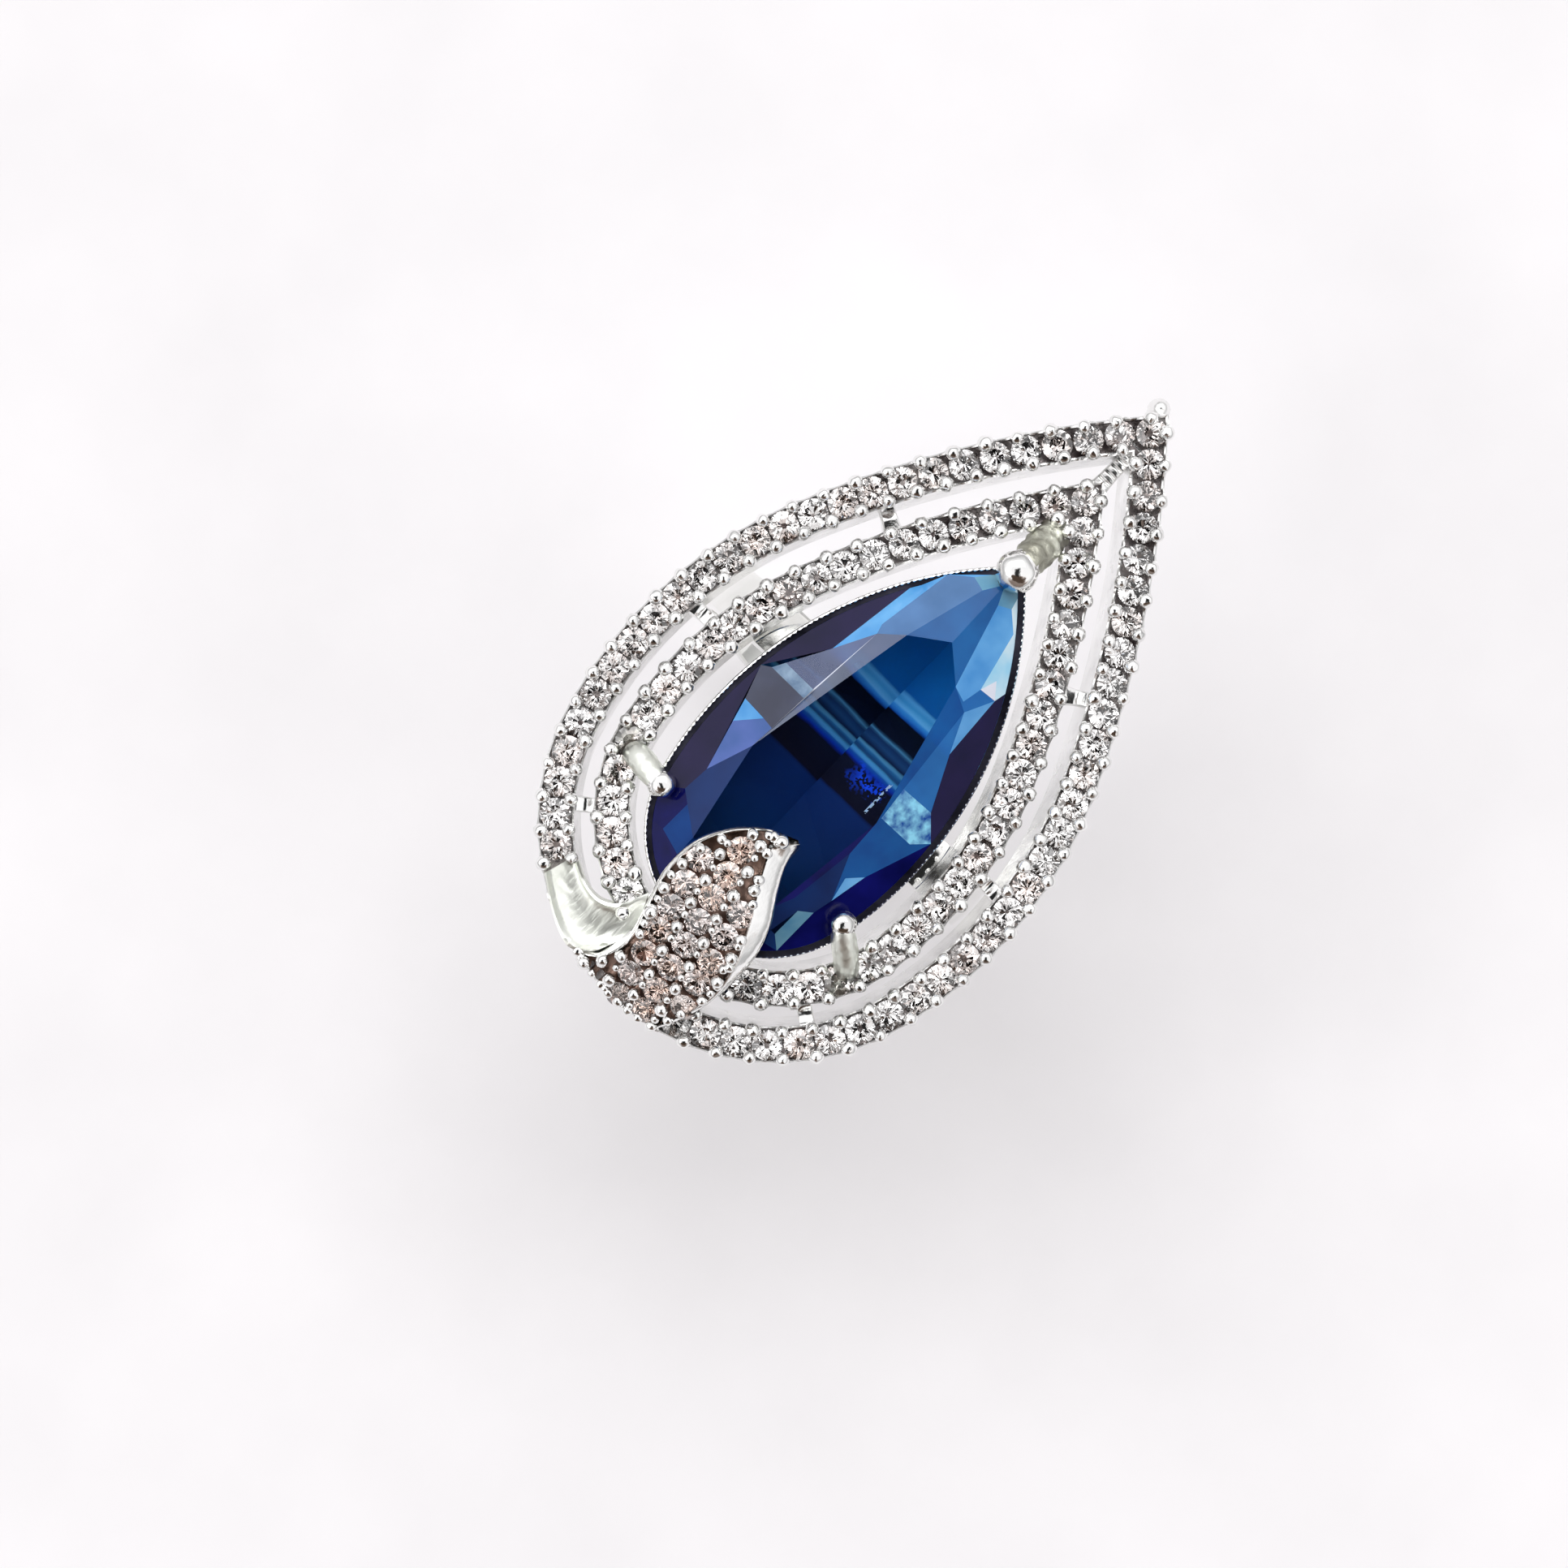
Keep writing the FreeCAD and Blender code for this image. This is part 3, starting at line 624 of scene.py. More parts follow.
def halo_trim(pear, stem, upper):
    """Row of stones and both rows of beads of one halo."""
    half, count = stone_count(pear)
    stones, outside, inside = Bag(), Bag(), Bag()
    for k in range(-count + 1, count + 1):
        x, y = pear.spot(half * k / count, RAIL_MIDDLE, RAIL_MIDDLE)
        if k == count:
            y = 0.0
        if not hidden(x, y, upper + 0.3):
            set_stone(stones, Vector((x, y, RAIL_TOP - 0.03)), Vector((0, 0, 1)), HALO_STONE_RADIUS)
        for way, beads in ((1, outside), (-1, inside)):
            shift = 0.6 + rng.uniform(-0.03, 0.03)
            place = half * (k - 0.5) / count + rng.uniform(-0.05, 0.05)
            x, y = pear.spot(place, RAIL_MIDDLE, RAIL_MIDDLE + way * shift)
            if hidden(x, y, upper) or abs(y) < 0.2:
                continue
            size = HALO_BEAD_RADIUS * rng.uniform(0.88, 1.08)
            height = RAIL_TOP + 0.14 + rng.uniform(-0.04, 0.04)
            foot, top = (x, y, RAIL_TOP - 0.42), (x, y, height)
            stemmed_bead(beads, foot, top, size, 0.16, (0.17, size * 0.86))
    finish_piece(stones.make(stem + "_stone_row", CLEAR, smooth=False), "clear_stones", stem + "_stones")
    finish_piece(outside.make(stem + "_bead_row_outside", BEAD), "bead_metal", stem + "_beads_outside")
    finish_piece(inside.make(stem + "_bead_row_inside", BEAD), "bead_metal", stem + "_beads_inside")


halo_trim(outer, "outer_halo", 5.0)
halo_trim(inner, "inner_halo", 1.9)


# ---- centre stone
def cut_stone():
    """Pear stone: crown facets laid out one by one, each coloured with its painted reflection; straight-sided
    depth below, painted with what shows through.
    """
    high, low = GIRDLE_Z + 0.12, GIRDLE_Z - 0.12
    steps = 48
    total = sum(girdle.lengths(0))
    ring = []
    for k in range(2 * steps):
        x, y = girdle.spot(total * (k - steps) / steps, 0, 0)
        ring.append((x, 0.0 if k == 0 else y))
    points = []

    def add(x, y, z):
        points.append((x, y, z))
        return len(points) - 1

    top_ring = [add(x, y, high) for x, y in ring]
    low_ring = [add(x, y, low) for x, y in ring]

    def nearest(x, y):
        return min(range(len(ring)), key=lambda k: (ring[k][0] - x) ** 2 + (ring[k][1] - y) ** 2)

    def chain(start, stop):
        """Girdle corners from one spot to another, the short way."""
        a, b = nearest(*start), nearest(*stop)
        span = (b - a) % len(ring)
        if span <= len(ring) / 2:
            return [top_ring[(a + k) % len(ring)] for k in range(span + 1)]
        return [top_ring[(a - k) % len(ring)] for k in range(len(ring) - span + 1)]

    def up(x, y, share=1.0):
        return add(x, y, high + (TABLE_Z - high) * share)

    c1, e1, f0, e2, c2 = up(-2.55, 3.15), up(5.35, 1.65), up(6.45, 0.05), up(5.2, -1.35), up(-1.3, -2.92)
    g2, g1 = up(-6.9, -2.2), up(-7.1, 2.28)
    c3 = up(-3.0, -3.0, 0.95)
    tip = up(9.85, 0.08, 0.35)
    b1, d1, d2, h1 = up(-4.6, 3.86, 0.52), up(4.55, 2.6, 0.6), up(5.0, 2.72, 0.5), up(-5.85, 3.96, 0.42)
    thin, k1, i1, j1 = up(1.0, 2.935, 0.8), up(-6.25, 3.42, 0.65), up(-7.75, 3.45, 0.2), up(-8.1, 2.25, 0.6)
    s1, n1, n2, f1 = up(2.8, 3.53, 0.4), up(8.5, 2.15, 0.2), up(9.2, 1.25, 0.25), up(9.0, 0.62, 0.45)
    b2, d3, m0, m1 = up(-5.0, -3.87, 0.5), up(4.7, -2.4, 0.6), up(-6.0, -2.6, 0.92), up(-5.9, -3.67, 0.45)
    m2, o1, o2 = up(-6.3, -3.1, 0.7), up(-7.7, -3.1, 0.4), up(-7.7, -2.85, 0.5)
    o3, w1, w2 = up(-8.3, -3.1, 0.15), up(-3.9, -3.62, 0.62), up(-3.3, -4.22, 0.37)
    x1, x2, x3, x4 = up(-1.0, -2.93, 0.98), up(-0.95, -4.66, 0.1), up(0.55, -2.77, 0.9), up(0.65, -4.38, 0.12)
    v0, v1, v2 = up(3.0, -3.2, 0.4), up(5.2, -2.65, 0.45), up(6.0, -3.05, 0.15)
    v3, v4, p1, p2 = up(5.9, -2.25, 0.45), up(5.0, -2.05, 0.7), up(8.6, -1.65, 0.2), up(9.3, -0.85, 0.3)
    f2, v5 = up(9.0, -0.3, 0.48), up(6.65, -2.5, 0.3)
    q1, q2, q3 = up(-2.35, 4.47, 0.3), up(-1.3, 4.75, 0.18), up(-1.38, 3.6, 0.72)
    q5, q6, q7 = up(-1.45, 3.07, 0.98), up(0.45, 4.85, 0.1), up(0.4, 2.96, 0.93)
    q8, q9 = up(1.0, 4.54, 0.2), up(0.95, 2.93, 0.9)
    peak, foot = (0.0, 5.3), (-0.3, -5.3)
    girdle_tip, cheek = (12.0, 0.0), (-8.1, -3.75)
    a1, a2 = chain(peak, peak)[0], chain(foot, foot)[0]
    facets = [
        ("table", [c1, e1, f0, e2, c2, g2, g1]),
        ("night", [h1, b1, a1] + chain(peak, (-6.6, 4.7))[1:]),
        ("violet", [b1, q1, q3, q5, c1]), ("sky", [q1, q2, q3]), ("slate", [q2, a1, q6, q7, q5, q3]),
        ("streak", [q6, q8, q9, q7]), ("frost", [q8, s1, d1, thin, q9]),
        ("white", [c1, d1, thin]), ("star", [c1, d1, e1]),
        ("night", [a1, s1] + chain((6.9, 3.2), peak)[:-1]),
        ("sky", [s1, d1, d2, n1, n2] + chain((9.8, 1.0), (6.9, 3.2))),
        ("haze", [d1, e1, f1, n2, n1, d2]), ("mid", [e1, f0, tip, f1]),
        ("pale", [n2, f1, tip] + chain(girdle_tip, (9.8, 1.0))),
        ("navy", [g1, c1, b1, h1, k1]), ("dusk", [g1, k1, i1, j1]),
        ("ink", [k1, h1] + chain((-6.6, 4.7), (-8.0, 3.9)) + [i1]),
        ("ink", [j1, i1] + chain((-8.0, 3.9), (-9.6, 0.0))),
        ("navy", [g1, j1, chain((-9.6, 0), (-9.6, 0))[0], o3, o2, g2]),
        ("ink", [o3] + chain((-9.6, 0.0), (-8.3, -3.6))),
        ("ink", [a2, w2, b2, m1] + chain(cheek, foot)[:-1]),
        ("azure", [w2, w1, b2, c3, c2, x1, x2, a2]), ("sky", [b2, w1, w2]),
        ("ice", [x1, x3, x4, a2, x2]), ("lake", [x3, d3, v0, x4]), ("azure", [c2, e2, d3, x3, x1]),
        ("ink", [g2, c2, c3, m0]), ("navy", [g2, m0, c3, b2, m1, m2, o2]),
        ("pale", [o1, m2, m1] + chain(cheek, cheek)),
        ("dusk", [o3, o2, o1] + chain(cheek, (-8.3, -3.6))),
        ("sky", [v0, d3, v1, v2]), ("night", [a2, x4, v0, v2] + chain((6.4, -3.2), foot)[:-1]),
        # a painted glint and a painted bright highlight on the facets by the point
        ("white", [v2, v3, v5]), ("glow", [v2, v5, v3, p1, p2] + chain((9.8, -1.0), (6.4, -3.2))),
        ("sky", [e2, f2, p2, p1, v3, v4]), ("mid", [e2, f0, tip, f2]),
        ("lake", [d3, v4, v3, v2, v1]), ("lake", [d3, e2, v4]),
        ("pale", [p2, f2, tip] + chain(girdle_tip, (9.8, -1.0)))]
    count = len(ring)
    for k in range(count):
        after = (k + 1) % count
        facets.append(("night", [top_ring[k], top_ring[after], low_ring[after], low_ring[k]]))
    keel = [add(x, 0.0, KEEL_Z + rise) for x, rise in ((-6.5, 0.5), (-2.5, 0.0), (2.5, 0.1), (7.0, 0.8))]
    for first, last, end in ((0, 9, 3), (9, 22, 2), (22, 34, 1), (34, 48, 0)):
        for side in (1, -1):
            line = [low_ring[(side * k) % count] for k in range(first, last + 1)]
            facets.append(("back", line + [keel[end]]))
            if end:
                facets.append(("back", [line[-1], keel[end - 1], keel[end]]))
    mesh = bpy.data.meshes.new("pear_stone")
    mesh.from_pydata([((x + HEAD_X) * MM, y * MM, z * MM) for x, y, z in points], [],
                     [corners for _, corners in facets])
    names = sorted({tone for tone, _ in facets})
    for name in names:
        mesh.materials.append(PAINTED_FACETS[name])
    middle = Vector((HEAD_X * MM, 0, GIRDLE_Z * MM))
    for poly, (tone, _) in zip(mesh.polygons, facets):
        poly.material_index = names.index(tone)
        poly.use_smooth = True
        if poly.normal.dot(poly.center - middle) < 0:
            poly.flip()
    mesh.update()
    normals = [tuple(poly.normal) for poly in mesh.polygons for _ in range(poly.loop_total)]
    mesh.normals_split_custom_set(normals)
    finish_piece(link_object("pear_stone", mesh), "blue_stone", "centre_stone")


cut_stone()


# ---- seat rim
def seat_rim():
    """Thin rim round the girdle with a milled top edge, a black strip of painted shade between rim and stone
    and a ledge below.
    """
    half = sum(girdle.lengths(RIM_GAP))
    teeth, tooth_steps = 96, 6
    steps = teeth * tooth_steps
    rows, shade_strip_rows = [], []
    for k in range(-steps, steps + 1):
        distance = half * k / steps
        saw = abs((abs(k) / tooth_steps % 1) - 0.5) * 2
        wander = noise.noise(Vector((distance * 0.9, 3.1, 0))) * 0.04
        top = RIM_TOP + 0.02 + wander
        keen = 0.5 + 0.5 * noise.noise(Vector((distance * 2.3, 7.7, 1.0)))
        cut = 0.1 * keen * ease(saw, 0.35, 0.85)
        lip = 0.2 + 0.06 * (distance < 0) + 0.5 * cut
        profile = [
            (0.35, RIM_LOW), (0.36, top - 0.35), (0.34, top - 0.1), (0.3, top - 0.02),
            (lip + 0.04, top), (lip, top - 0.03 - cut), (lip - 0.01, top - 0.3), (0.03, GIRDLE_Z - 0.5),
            (-0.46, GIRDLE_Z - 0.62), (-0.5, RIM_LOW + 0.03), (-0.46, RIM_LOW)]
        rows.append(girdle.section(distance, RIM_GAP, profile, abs(k) == steps))
        # thin strip just inside the lip, in painted shade
        shade_profile = [(lip - 0.005, top - 0.12), (0.005, top - 0.1)]
        shade_strip_rows.append(girdle.section(distance, RIM_GAP, shade_profile, abs(k) == steps))
    rim = sheet(rows, closed=True).make("milled_seat_rim", PLATE, sharp=40)
    finish_piece(rim, "head_metal", "stone_seat_rim")
    # the strip by the stone is painted shade
    finish_piece(sheet(shade_strip_rows).make("seat_rim_painted_shade", SHADE_STRIP), "head_metal")


seat_rim()


# ---- prongs
def prong(name, node, path, radii, ball_radius, neck, gnarl=0.03):
    """Wire up from the rail, over the rim, ending in a ball on the stone."""
    steps = 10
    widths = [width.x for width in smooth_path([(radius, 0, 0) for radius in radii], steps)]
    rings = wire(smooth_path(path, steps), widths, 30, gnarl)
    bag = sheet(rings, closed=True)
    bag.cap(rings[0][::-1])
    ball(bag, path[-1], ball_radius, 32, 22, 0.95, 0.05)
    obj = bag.make(name, PLATE)
    middle = (Vector(path[-1]) + Vector((HEAD_X, 0, 0))) * MM
    reach = ball_radius * 1.01 * MM
    repaint(obj, neck, lambda face: (face.center - middle).length > reach)
    finish_piece(obj, "head_metal", node)


prong("tip_claw", "prong_tip",
      [(13.4, 0, RAIL_TOP - 1.1), (12.85, 0, RAIL_TOP - 0.45), (12.1, 0, RAIL_TOP + 0.12),
       (11.3, 0.05, HOLD_Z - 0.3), (10.6, 0.1, HOLD_Z - 0.1)],
      [0.74, 0.76, 0.76, 0.72, 0.62], 0.94, NECK, gnarl=0.16)
prong("upper_claw", "prong_left",
      [(-6.25, 6.75, RAIL_TOP - 1.3), (-6.25, 6.45, RAIL_TOP + 0.1), (-6.3, 5.9, RAIL_TOP + 0.62),
       (-6.38, 5.2, HOLD_Z - 0.12), (-6.4, 4.8, HOLD_Z - 0.05)],
      [0.56, 0.58, 0.6, 0.52, 0.46], 0.61, SATIN)
prong("lower_claw", "prong_right",
      [(-6.85, -6.75, RAIL_TOP - 1.3), (-6.6, -6.35, RAIL_TOP + 0.1), (-6.15, -5.8, RAIL_TOP + 0.62),
       (-5.7, -5.2, HOLD_Z - 0.12), (-5.4, -4.92, HOLD_Z - 0.05)],
      [0.54, 0.56, 0.58, 0.52, 0.46], 0.59, SATIN, gnarl=0.07)


# ---- tie bars and seat legs
def bar(name, node, middle, turn, length, notches=1):
    """Short bar between the rails, pinched in the middle and nicked on top."""
    top = RAIL_TOP - CHANNEL_DEPTH
    steps = 84
    way = Vector((math.cos(math.radians(turn)), math.sin(math.radians(turn)), 0))
    across = Vector((-way.y, way.x, 0))
    rows = []
    for k in range(steps + 1):
        t = k / steps * 2 - 1
        wide = 0.34 + 0.1 * t * t
        nick = 0.13 * max(0.0, math.cos(math.pi * notches * t)) ** 2
        centre = middle + way * (t * length / 2)
        # a bar with many notches keeps its left edge whole
        left_nick = 0.0 if notches > 1 else nick * 0.5
        profile = [(-wide, -0.9), (-wide, -0.16), (-wide * 0.8, -0.03 - left_nick), (0, -nick),
                   (wide * 0.8, -0.03 - nick * 0.5), (wide, -0.16), (wide, -0.9)]
        rows.append([tuple(centre + across * a + Vector((0, 0, top + z))) for a, z in profile])
    bag = sheet(rows, closed=True)
    finish_piece(bag.make(name, PLATE, sharp=50), "head_metal", node)


def node_middle(node):
    """Middle of a CAD node in plan, in the head's frame."""
    low, high = box_mm(node)
    return Vector(((low[0] + high[0]) / 2 - HEAD_X, (low[1] + high[1]) / 2, 0))


for place, turn, length in (("mid", 92, 1.5), ("tip", 58, 1.8), ("root", 127, 1.8)):
    for side, hand, word in ((1, "left", "upper"), (-1, "right", "lower")):
        cad_bar = f"tie_bar_{hand}_{place}"
        middle = Vector((8.85, 5.9 * side, 0)) if place == "tip" else node_middle(cad_bar)
        bar(f"bar_{place}_{word}", cad_bar, middle, side * turn, length)
bar("bar_point", "tie_bar_point", Vector((17.05, 0, 0)), 0, 2.6, notches=7)
for name in ("seat_leg_near", "seat_leg_far", "leaf_root"):
    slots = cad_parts[name].data.materials
    slots.clear()
    slots.append(PLATE)


# ---- shank
def shank():
    """Strip wound round the finger: flat tops under the head, ends side by side; slightly domed outside."""
    reach, foot, end = 7.6, 2.0, 4.4
    arm, half_width = 1.5, 1.25
    dome, edge_drop, bevel = 9.2, 0.3, 0.12
    heel = math.sqrt(BAND_RADIUS ** 2 - foot ** 2)

    def outside(angle):
        """Outer radius at an angle from straight up."""
        angle = abs(angle)
        s, c = math.sin(angle), math.cos(angle)
        if angle > math.atan2(heel, foot):
            return BAND_RADIUS
        flat = SHANK_TOP / c if c > 0.05 else 99
        dy, dz = heel - reach, foot - SHANK_TOP
        cross = s * dz - c * dy
        slope = (reach * dz - SHANK_TOP * dy) / cross if abs(cross) > 1e-6 else 99
        return max(BAND_RADIUS, min(flat, slope, 12.55))

    nudges = [step * 0.012 for step in range(-4, 5)]
    rows = []
    start = -math.asin(end / (FINGER_RADIUS + 0.6))
    count, across = 420, 10
    for k in range(count + 1):
        # from one arm's end over the top, down and round to the other arm's end
        a = start + (2 * math.pi - 2 * start) * k / count
        local = 2 * math.pi - a if a > math.pi else a
        r_out = sum(outside(local + step) for step in nudges) / len(nudges)
        if math.sin(a) < 0 and math.cos(a) > 0.3:
            r_out -= 0.17 * max(0.0, -math.sin(a) * r_out - 4.0) * ease(math.cos(a), 0.55, 0.8)
        x = -arm * math.cos(max(0.0, min(math.pi, a - math.pi / 2)))
        y_way, z_way = -math.sin(a), math.cos(a)
        lean = 1.2 * ease(y_way, 0.2, 0.35) * ease(z_way, 0.4, 0.6)
        profile = [(-half_width, FINGER_RADIUS + bevel), (-half_width, r_out - edge_drop)]
        for step in range(across + 1):
            u = (half_width - 0.04) * (2 * step / across - 1)
            profile.append((u, r_out - ((u + lean) ** 2) / dome))
        far_drop = max(edge_drop, (half_width - 0.04 + lean) ** 2 / dome + 0.08)
        profile += [(half_width, r_out - far_drop), (half_width, FINGER_RADIUS + bevel),
                    (half_width - bevel, FINGER_RADIUS), (-half_width + bevel, FINGER_RADIUS)]
        rows.append([(x + u, y_way * r, z_way * r) for u, r in profile])
    bag = sheet(rows, closed=True)
    bag.cap(rows[0])
    bag.cap(rows[-1])
    finish_piece(bag.make("bypass_shank", SHANK_METAL, origin=0.0, sharp=40), "shank_metal", "shank_band")


shank()


# ---- leaf
def arch(x):
    """Height and normal of the leaf's top."""
    across = x - LEAF_CREST
    rise = math.sqrt(LEAF_RADIUS ** 2 - across ** 2)
    droop = 0.7 * ease(-x, 12.0, 14.4)
    return LEAF_TOP - LEAF_RADIUS + rise - droop, Vector((across / LEAF_RADIUS, 0, rise / LEAF_RADIUS))


UPPER_EDGE = flat_path([(-14.2, 2.8), (-13.55, 1.75), (-12.1, 1.38), (-10.3, 1.85), (-8.7, 2.25),
                        (-7.1, 2.15), (-5.7, 1.45), (-4.65, 0.35), (-4.1, -0.95)], 12)
LOWER_EDGE = flat_path([(-14.45, -2.3), (-13.5, -2.7), (-12.2, -3.05), (-10.8, -3.2), (-9.3, -3.15),
                        (-7.7, -2.7), (-6.2, -1.85), (-5.1, -1.35), (-4.25, -1.28)], 12)


def leaf_flare(s):
    """Width of the bright wall on the leaf's lower side."""
    return 0.1 + 0.84 * ease(s, 0.3, 0.66)


def leaf_point(s, v):
    """Plan point of the leaf: s from root to tip, v from the lower to the upper edge."""
    index = s * (len(UPPER_EDGE) - 1)
    k = min(int(index), len(UPPER_EDGE) - 2)
    share = index - k
    up = UPPER_EDGE[k].lerp(UPPER_EDGE[k + 1], share)
    down = LOWER_EDGE[k].lerp(LOWER_EDGE[k + 1], share)
    bulge = -0.42 * 4 * v * (1 - v) * max(0.0, 1 - s * 5)
    spot = down.lerp(up, v)
    return Vector((spot.x + bulge, spot.y, 0)), (up - down).length


def leaf():
    """Pillow-edged leaf: flared bright wall below, thin raised rim above, sunk field in painted dark brown
    shade.
    """
    lower_rows, upper_rows, field_rows = [], [], []
    stations, field_steps = 110, 6

    def lay(s, share, drop):
        """Point of the leaf at a share of its width, raised by `drop` along the top's normal."""
        p, _ = leaf_point(s, share)
        z, n = arch(p.x)
        return p.x + n.x * drop, p.y, z + n.z * drop

    for k in range(stations + 1):
        s = k / stations
        width = max(leaf_point(s, 0.5)[1], 0.02)
        squeeze = min(1.0, width / LEAF_FULL_WIDTH)
        flare = leaf_flare(s) * squeeze
        rim = 0.2 * squeeze
        sink = -0.56 * squeeze - 0.06
        groove = flare + rim + 0.06
        lower = [
            (0.0, -LEAF_THICK), (0.0, -0.62), (flare * 0.12, -0.46), (flare * 0.5, -0.22),
            (flare * 0.9, -0.05), (flare + rim * 0.2, 0.03), (flare + rim * 0.55, 0.05),
            (flare + rim * 0.9, -0.02), (flare + rim, -0.14), (groove, sink - 0.14)]
        upper = [
            (rim + 0.06, sink), (rim + 0.03, -0.1), (rim * 0.85, 0.03), (rim * 0.62, 0.06), (rim * 0.5, 0.0),
            (rim * 0.3, 0.05), (0.02, 0.0), (-0.03, -0.15), (0.0, -0.75), (0.0, -LEAF_THICK)]
        lower_rows.append([lay(s, min(0.5, a / width), drop) for a, drop in lower])
        upper_rows.append([lay(s, 1 - min(0.5, a / width), drop) for a, drop in upper])
        start, stop = groove / width, 1 - (rim + 0.06) / width
        row = []
        for step in range(field_steps + 1):
            v = start + (stop - start) * step / field_steps if width > 0.9 else 0.5
            row.append(lay(s, max(0.0, min(1.0, v)), sink - (0.14 if step == 0 else 0.0)))
        field_rows.append(row)
    walls = sheet(lower_rows)
    walls.grid(upper_rows)
    for k in range(stations):
        walls.cap([lower_rows[k][0], lower_rows[k + 1][0], upper_rows[k + 1][-1], upper_rows[k][-1]])
    for end in (0, -1):
        walls.cap(lower_rows[end] + field_rows[end] + upper_rows[end])
    finish_piece(walls.make("leaf_walls", PLATE, sharp=60), "head_metal", "leaf_tray")
    # the sunk field is painted dark brown: painted shade with a painted brown reflection
    finish_piece(sheet(field_rows).make("leaf_field", FIELD_SHADE, sharp=60), "head_metal")


leaf()


def inside_leaf(x, y, inset_low, inset_high):
    """True where a spot is inside the leaf's field, with an inset from each edge."""
    spot = Vector((x, y, 0))
    stations = 96
    best = None
    for k in range(stations + 1):
        s = k / stations
        down, width = leaf_point(s, 0.0)
        up, _ = leaf_point(s, 1.0)
        line = up - down
        if line.length < 0.1:
            continue
        t = (spot - down).dot(line) / line.length_squared
        gap = (spot - (down + line * t)).length
        if best is None or gap < best[0]:
            best = (gap, t * width, (1 - t) * width, s)
    gap, from_low, from_high, s = best
    width = from_low + from_high
    root, _ = leaf_point(0.0, min(1.0, max(0.0, from_low / width)))
    low = inset_low + leaf_flare(s) * min(1.0, width / LEAF_FULL_WIDTH)
    return gap < 0.55 and from_low > low and from_high > inset_high and x > root.x + 0.2 and s < 0.955


def leaf_trim():
    """Slanted rows of stones with a bead in every gap, and beads along the edges and the root."""
    slant = math.radians(13)
    along, across = 1.17, 1.3
    edge_beads, root_beads = 11, 8
    stones, beads = Bag(), Bag()

    def bead(x, y, size, lift):
        z, normal = arch(x)
        top = Vector((x, y, z)) + normal * lift
        stemmed_bead(beads, top - normal * 0.78, top, size, 0.12, (0.19, size * 0.85))

    for row in range(-7, 8):
        for column in range(-15, 10):
            u, v = column * along / 2, row * across / 2
            x = -8.35 + u * math.cos(slant) - v * math.sin(slant) + rng.uniform(-0.05, 0.05)
            y = -0.05 + u * math.sin(slant) + v * math.cos(slant) + rng.uniform(-0.05, 0.05)
            stone_site = row % 2 == 0 and column % 2 == 0
            bead_site = row % 2 == 1 and column % 2 == 1
            side_site = row % 2 == 1 and column % 2 == 0
            if stone_site and inside_leaf(x, y, 0.43, 0.36):
                z, normal = arch(x)
                set_stone(stones, Vector((x, y, z)) - normal * 0.06, normal, LEAF_STONE_RADIUS)
            elif stone_site and inside_leaf(x, y, 0.1, 0.2):
                bead(x, y, LEAF_BEAD_RADIUS * rng.uniform(0.9, 1.1), 0.12)
            elif bead_site and inside_leaf(x, y, 0.2, 0.34):
                bead(x, y, LEAF_BEAD_RADIUS * rng.uniform(0.9, 1.1), 0.14)
            elif side_site and inside_leaf(x, y, 0.2, 0.34):
                bead(x, y, SMALL_BEAD_RADIUS * rng.uniform(0.9, 1.1), 0.1)
    for upper_side in (True, False):
        for k in range(edge_beads):
            s = 0.03 + 0.94 * (k + rng.uniform(-0.2, 0.2)) / edge_beads
            _, width = leaf_point(s, 0.5)
            inset = 0.4 if upper_side else 0.26 + leaf_flare(s) * min(1.0, width / LEAF_FULL_WIDTH)
            p, _ = leaf_point(s, 1 - inset / width if upper_side else inset / width)
            bead(p.x, p.y, EDGE_BEAD_RADIUS * rng.uniform(0.86, 1.1), 0.06)
    for k in range(root_beads + 1):
        p, _ = leaf_point(0.0, 0.06 + 0.88 * (k + rng.uniform(-0.1, 0.1)) / root_beads)
        bead(p.x + 0.24, p.y, EDGE_BEAD_RADIUS * rng.uniform(0.86, 1.1), 0.04)
    # leaf stones in the darker pinkish-brown copy: partly painted shade
    finish_piece(stones.make("leaf_stone_field", CHAMPAGNE_AND_SHADE, smooth=False), "champagne_stones", "leaf_stones")
    finish_piece(beads.make("leaf_bead_field", BEAD), "bead_metal", "leaf_beads")


leaf_trim()


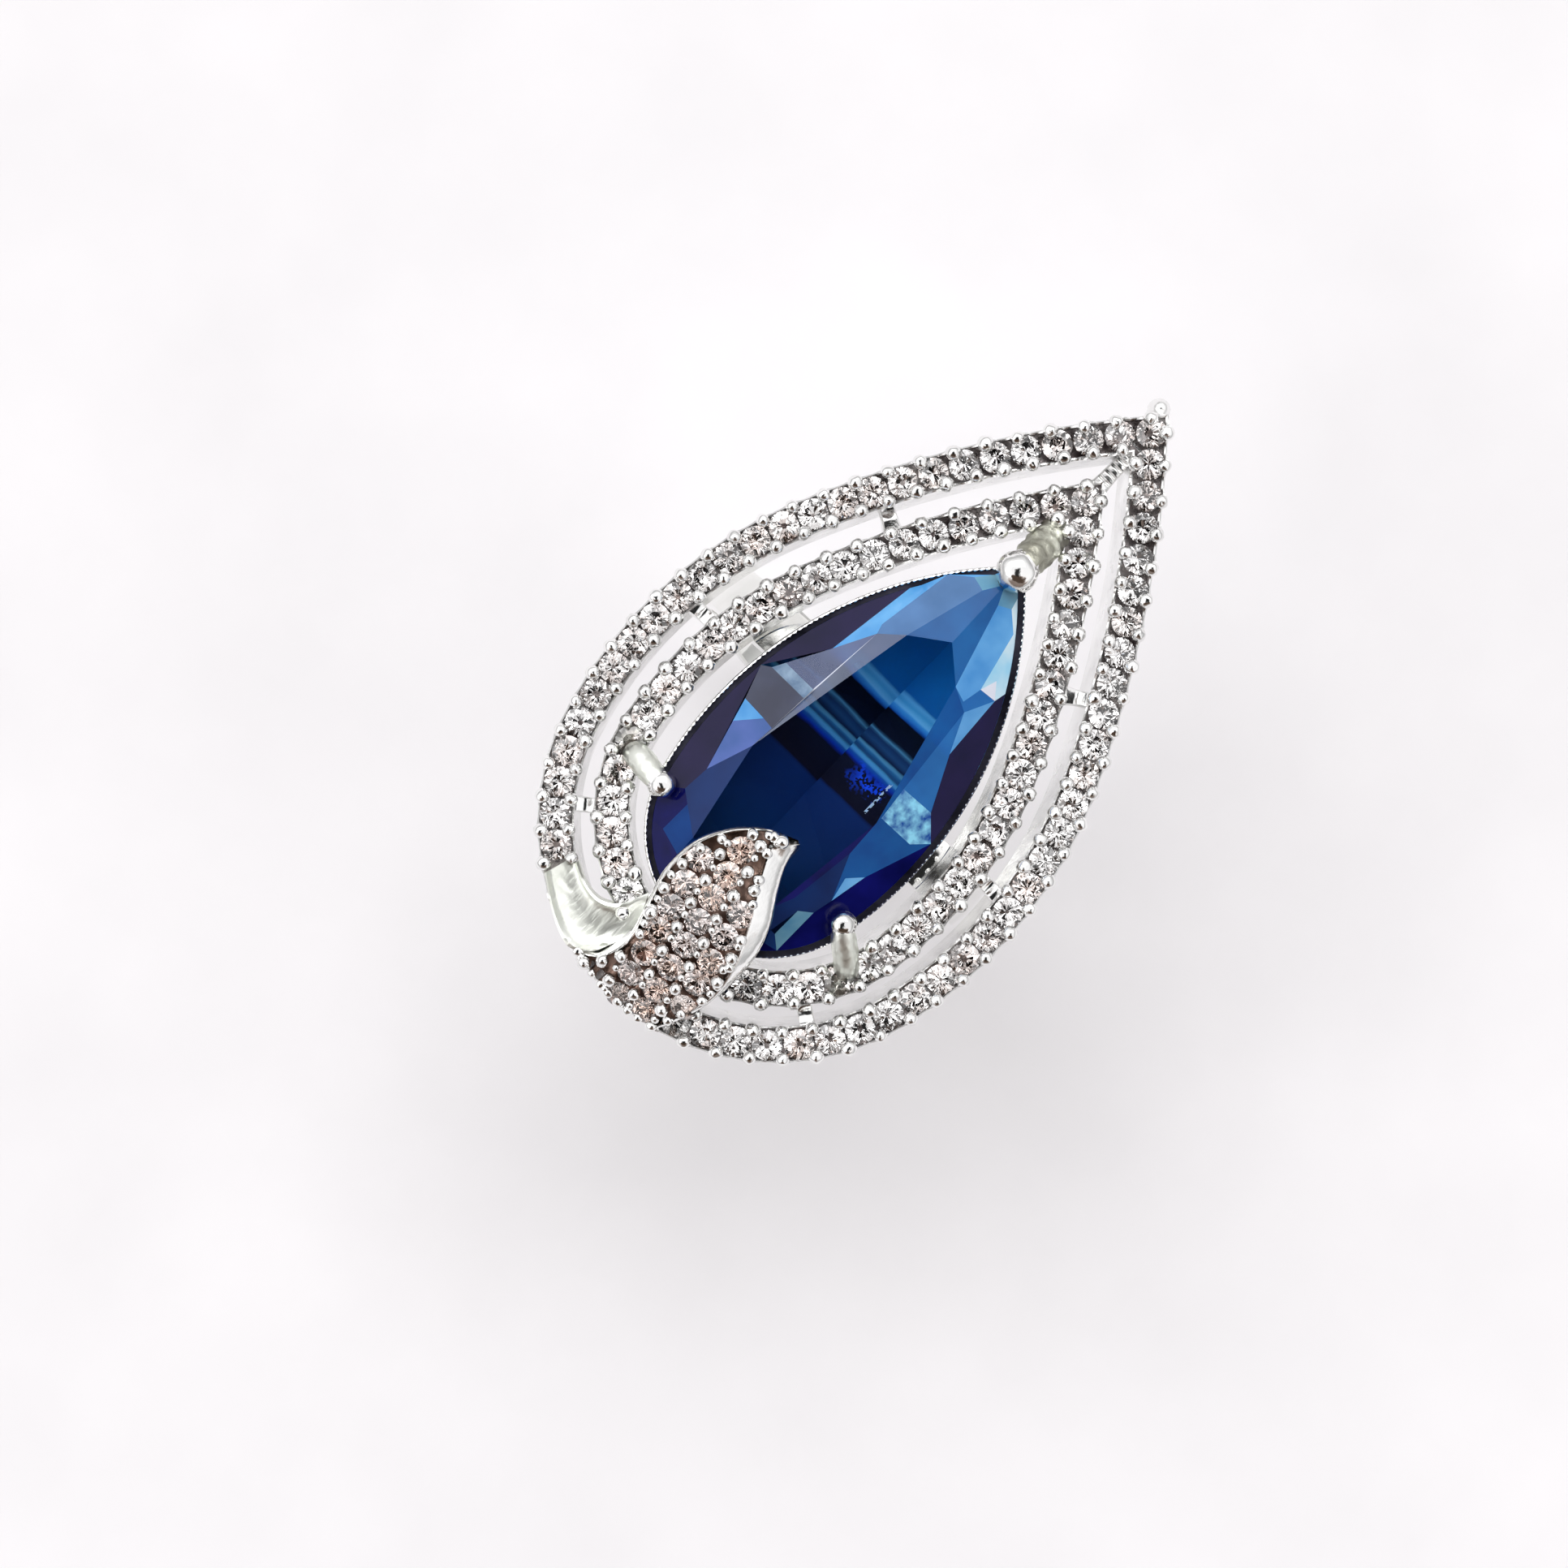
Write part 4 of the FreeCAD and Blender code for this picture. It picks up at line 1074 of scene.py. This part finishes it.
def curl():
    """Plain dished turn between the outer halo and the leaf."""
    outside_edge = flat_path([(-12.65, 5.8), (-13.45, 4.7), (-14.05, 3.6), (-14.2, 2.75), (-13.6, 1.95)], 10)
    inside_edge = flat_path([(-11.2, 5.35), (-11.75, 4.3), (-11.85, 3.3), (-11.3, 2.5), (-10.2, 2.0)], 10)
    foot = RAIL_TOP - 1.4
    across = 18
    rows = []
    for k, (a, b) in enumerate(zip(outside_edge, inside_edge)):
        t = k / (len(outside_edge) - 1)
        row = [(a.x, a.y, foot), (a.x + 0.01, a.y, RAIL_TOP + 0.05 + 0.2 * t)]
        for j in range(across + 1):
            v = j / across
            p = a.lerp(b, v)
            p.y -= 0.55 * math.sin(math.pi * v) * ease(t, 0.3, 1.0)
            lip = 0.16 * math.exp(-((v - 0.07) / 0.06) ** 2) + 0.12 * math.exp(-((v - 0.95) / 0.05) ** 2)
            dish = (0.12 + 0.2 * t) * math.sin(math.pi * v)
            streak = 0.035 * noise.noise(Vector((p.x * 1.1, p.y * 4.5, 0.3))) * ease(t, 0.3, 0.9)
            streak += 0.03 * noise.noise(Vector((p.x * 4.0, p.y * 4.0, 5.1))) * (1 - t)
            z = RAIL_TOP + 0.1 + 0.3 * t + lip - dish + streak + 0.4 * (0.5 - v) * (1 - t)
            row.append((p.x, p.y, z))
        rows.append(row + [(b.x, b.y, foot)])
    bag = sheet(rows)
    bag.cap(rows[0])
    bag.cap(rows[-1])
    finish_piece(bag.make("plain_curl", SATIN, sharp=55), "satin_metal", "leaf_curl")


curl()


# ---- stage
def stage():
    """Plain pale floor under the shank."""
    bpy.ops.mesh.primitive_plane_add(size=0.9, location=(0, 0, CAD_BOUNDS[0][2]))
    floor = bpy.context.object
    floor.name = "floor"
    material, tree, shader = new_material("floor_paper")
    tint(tree, shader, noise_node(tree, 60, 4), [(0.3, (0.8, 0.79, 0.8)), (0.7, (0.86, 0.85, 0.86))])
    set_inputs(shader, Roughness=0.8)
    floor.data.materials.append(material)


stage()


def world_light():
    """Soft white room, brighter on two sides, with dark places overhead and towards the viewer."""
    world = bpy.data.worlds.new("room")
    bpy.context.scene.world = world
    world.use_nodes = True
    tree = world.node_tree
    background = tree.nodes["Background"]
    coords = tree.nodes.new("ShaderNodeTexCoord")
    split = tree.nodes.new("ShaderNodeSeparateXYZ")
    tree.links.new(coords.outputs["Generated"], split.inputs["Vector"])
    skyward = split.outputs["Z"]

    def product(first, second):
        return calc(tree, "MULTIPLY", first, second)

    def window(value, low_edge, high_edge, soft):
        """1 between the edges, 0 outside, with soft sides."""
        rise = range_node(tree, value, (low_edge - soft, low_edge + soft), (0, 1), smooth=True)
        fall = range_node(tree, value, (high_edge - soft, high_edge + soft), (1, 0), smooth=True)
        return product(rise, fall)

    height = calc(tree, "MAXIMUM", skyward, 0.05)
    east = calc(tree, "DIVIDE", split.outputs["X"], height)
    north = calc(tree, "DIVIDE", split.outputs["Y"], height)
    sine, cosine = math.sin(VIEW_TURN), math.cos(VIEW_TURN)
    up = calc(tree, "ADD", product(east, sine), product(north, cosine))
    right = calc(tree, "SUBTRACT", product(east, cosine), product(north, sine))
    above = window(skyward, 0.1, 2.0, 0.05)

    def patch(left, far, low, top, soft):
        """Soft-edged oblong of the sky, along the picture's right and up."""
        return product(above, product(window(right, left, far, soft), window(up, low, top, soft)))

    phone = patch(-0.27, 0.27, -0.62, 0.17, 0.03)
    hands = patch(-0.95, 0.8, -1.7, -0.56, 0.08)
    person = patch(-2.0, 2.0, -7.0, -1.6, 0.3)
    lamp = patch(-1.1, 0.9, 0.45, 1.6, 0.12)
    side = patch(-2.6, -0.9, -0.9, 0.4, 0.15)
    level = calc(tree, "MULTIPLY_ADD", lamp, 2.2, 1.08)
    level = calc(tree, "MULTIPLY_ADD", side, 1.2, level)
    level = product(level, range_node(tree, skyward, (0.0, 0.5), (0.45, 1), smooth=True))
    for shape, amount in ((phone, 0.98), (hands, 0.93), (person, 0.75)):
        level = product(level, calc(tree, "MULTIPLY_ADD", shape, -amount, 1.0))
    tree.links.new(level, background.inputs["Strength"])
    brown = calc(tree, "MAXIMUM", hands, product(person, 0.6))
    warm = mix_node(tree, brown, (1.0, 0.99, 1.0), (1.0, 0.66, 0.48))
    tree.links.new(warm, background.inputs["Color"])


world_light()


def camera():
    """Nearly straight down on the head, the point of the pear up and to the right."""
    target = Vector(((HEAD_X - 2.8) * MM, 1.0 * MM, RAIL_TOP * MM))
    distance = 100 * MM
    # what the picture's width covers at the height of the rails
    picture_width = 1932 / 28.6 * MM
    lean = Vector((0.0, 0.035, 1.0)).normalized()
    data = bpy.data.cameras.new("view")
    data.sensor_width = 36
    data.lens = data.sensor_width * distance / picture_width
    data.clip_start = 0.005
    data.clip_end = 5
    cam = link_object("view", data)
    up = Vector((math.sin(VIEW_TURN), math.cos(VIEW_TURN), 0))
    right = up.cross(lean).normalized()
    true_up = lean.cross(right).normalized()
    rotation = Matrix((right, true_up, lean)).transposed().to_4x4()
    cam.matrix_world = Matrix.Translation(target + lean * distance) @ rotation
    bpy.context.scene.camera = cam


camera()
bpy.context.scene.view_settings.view_transform = "Standard"
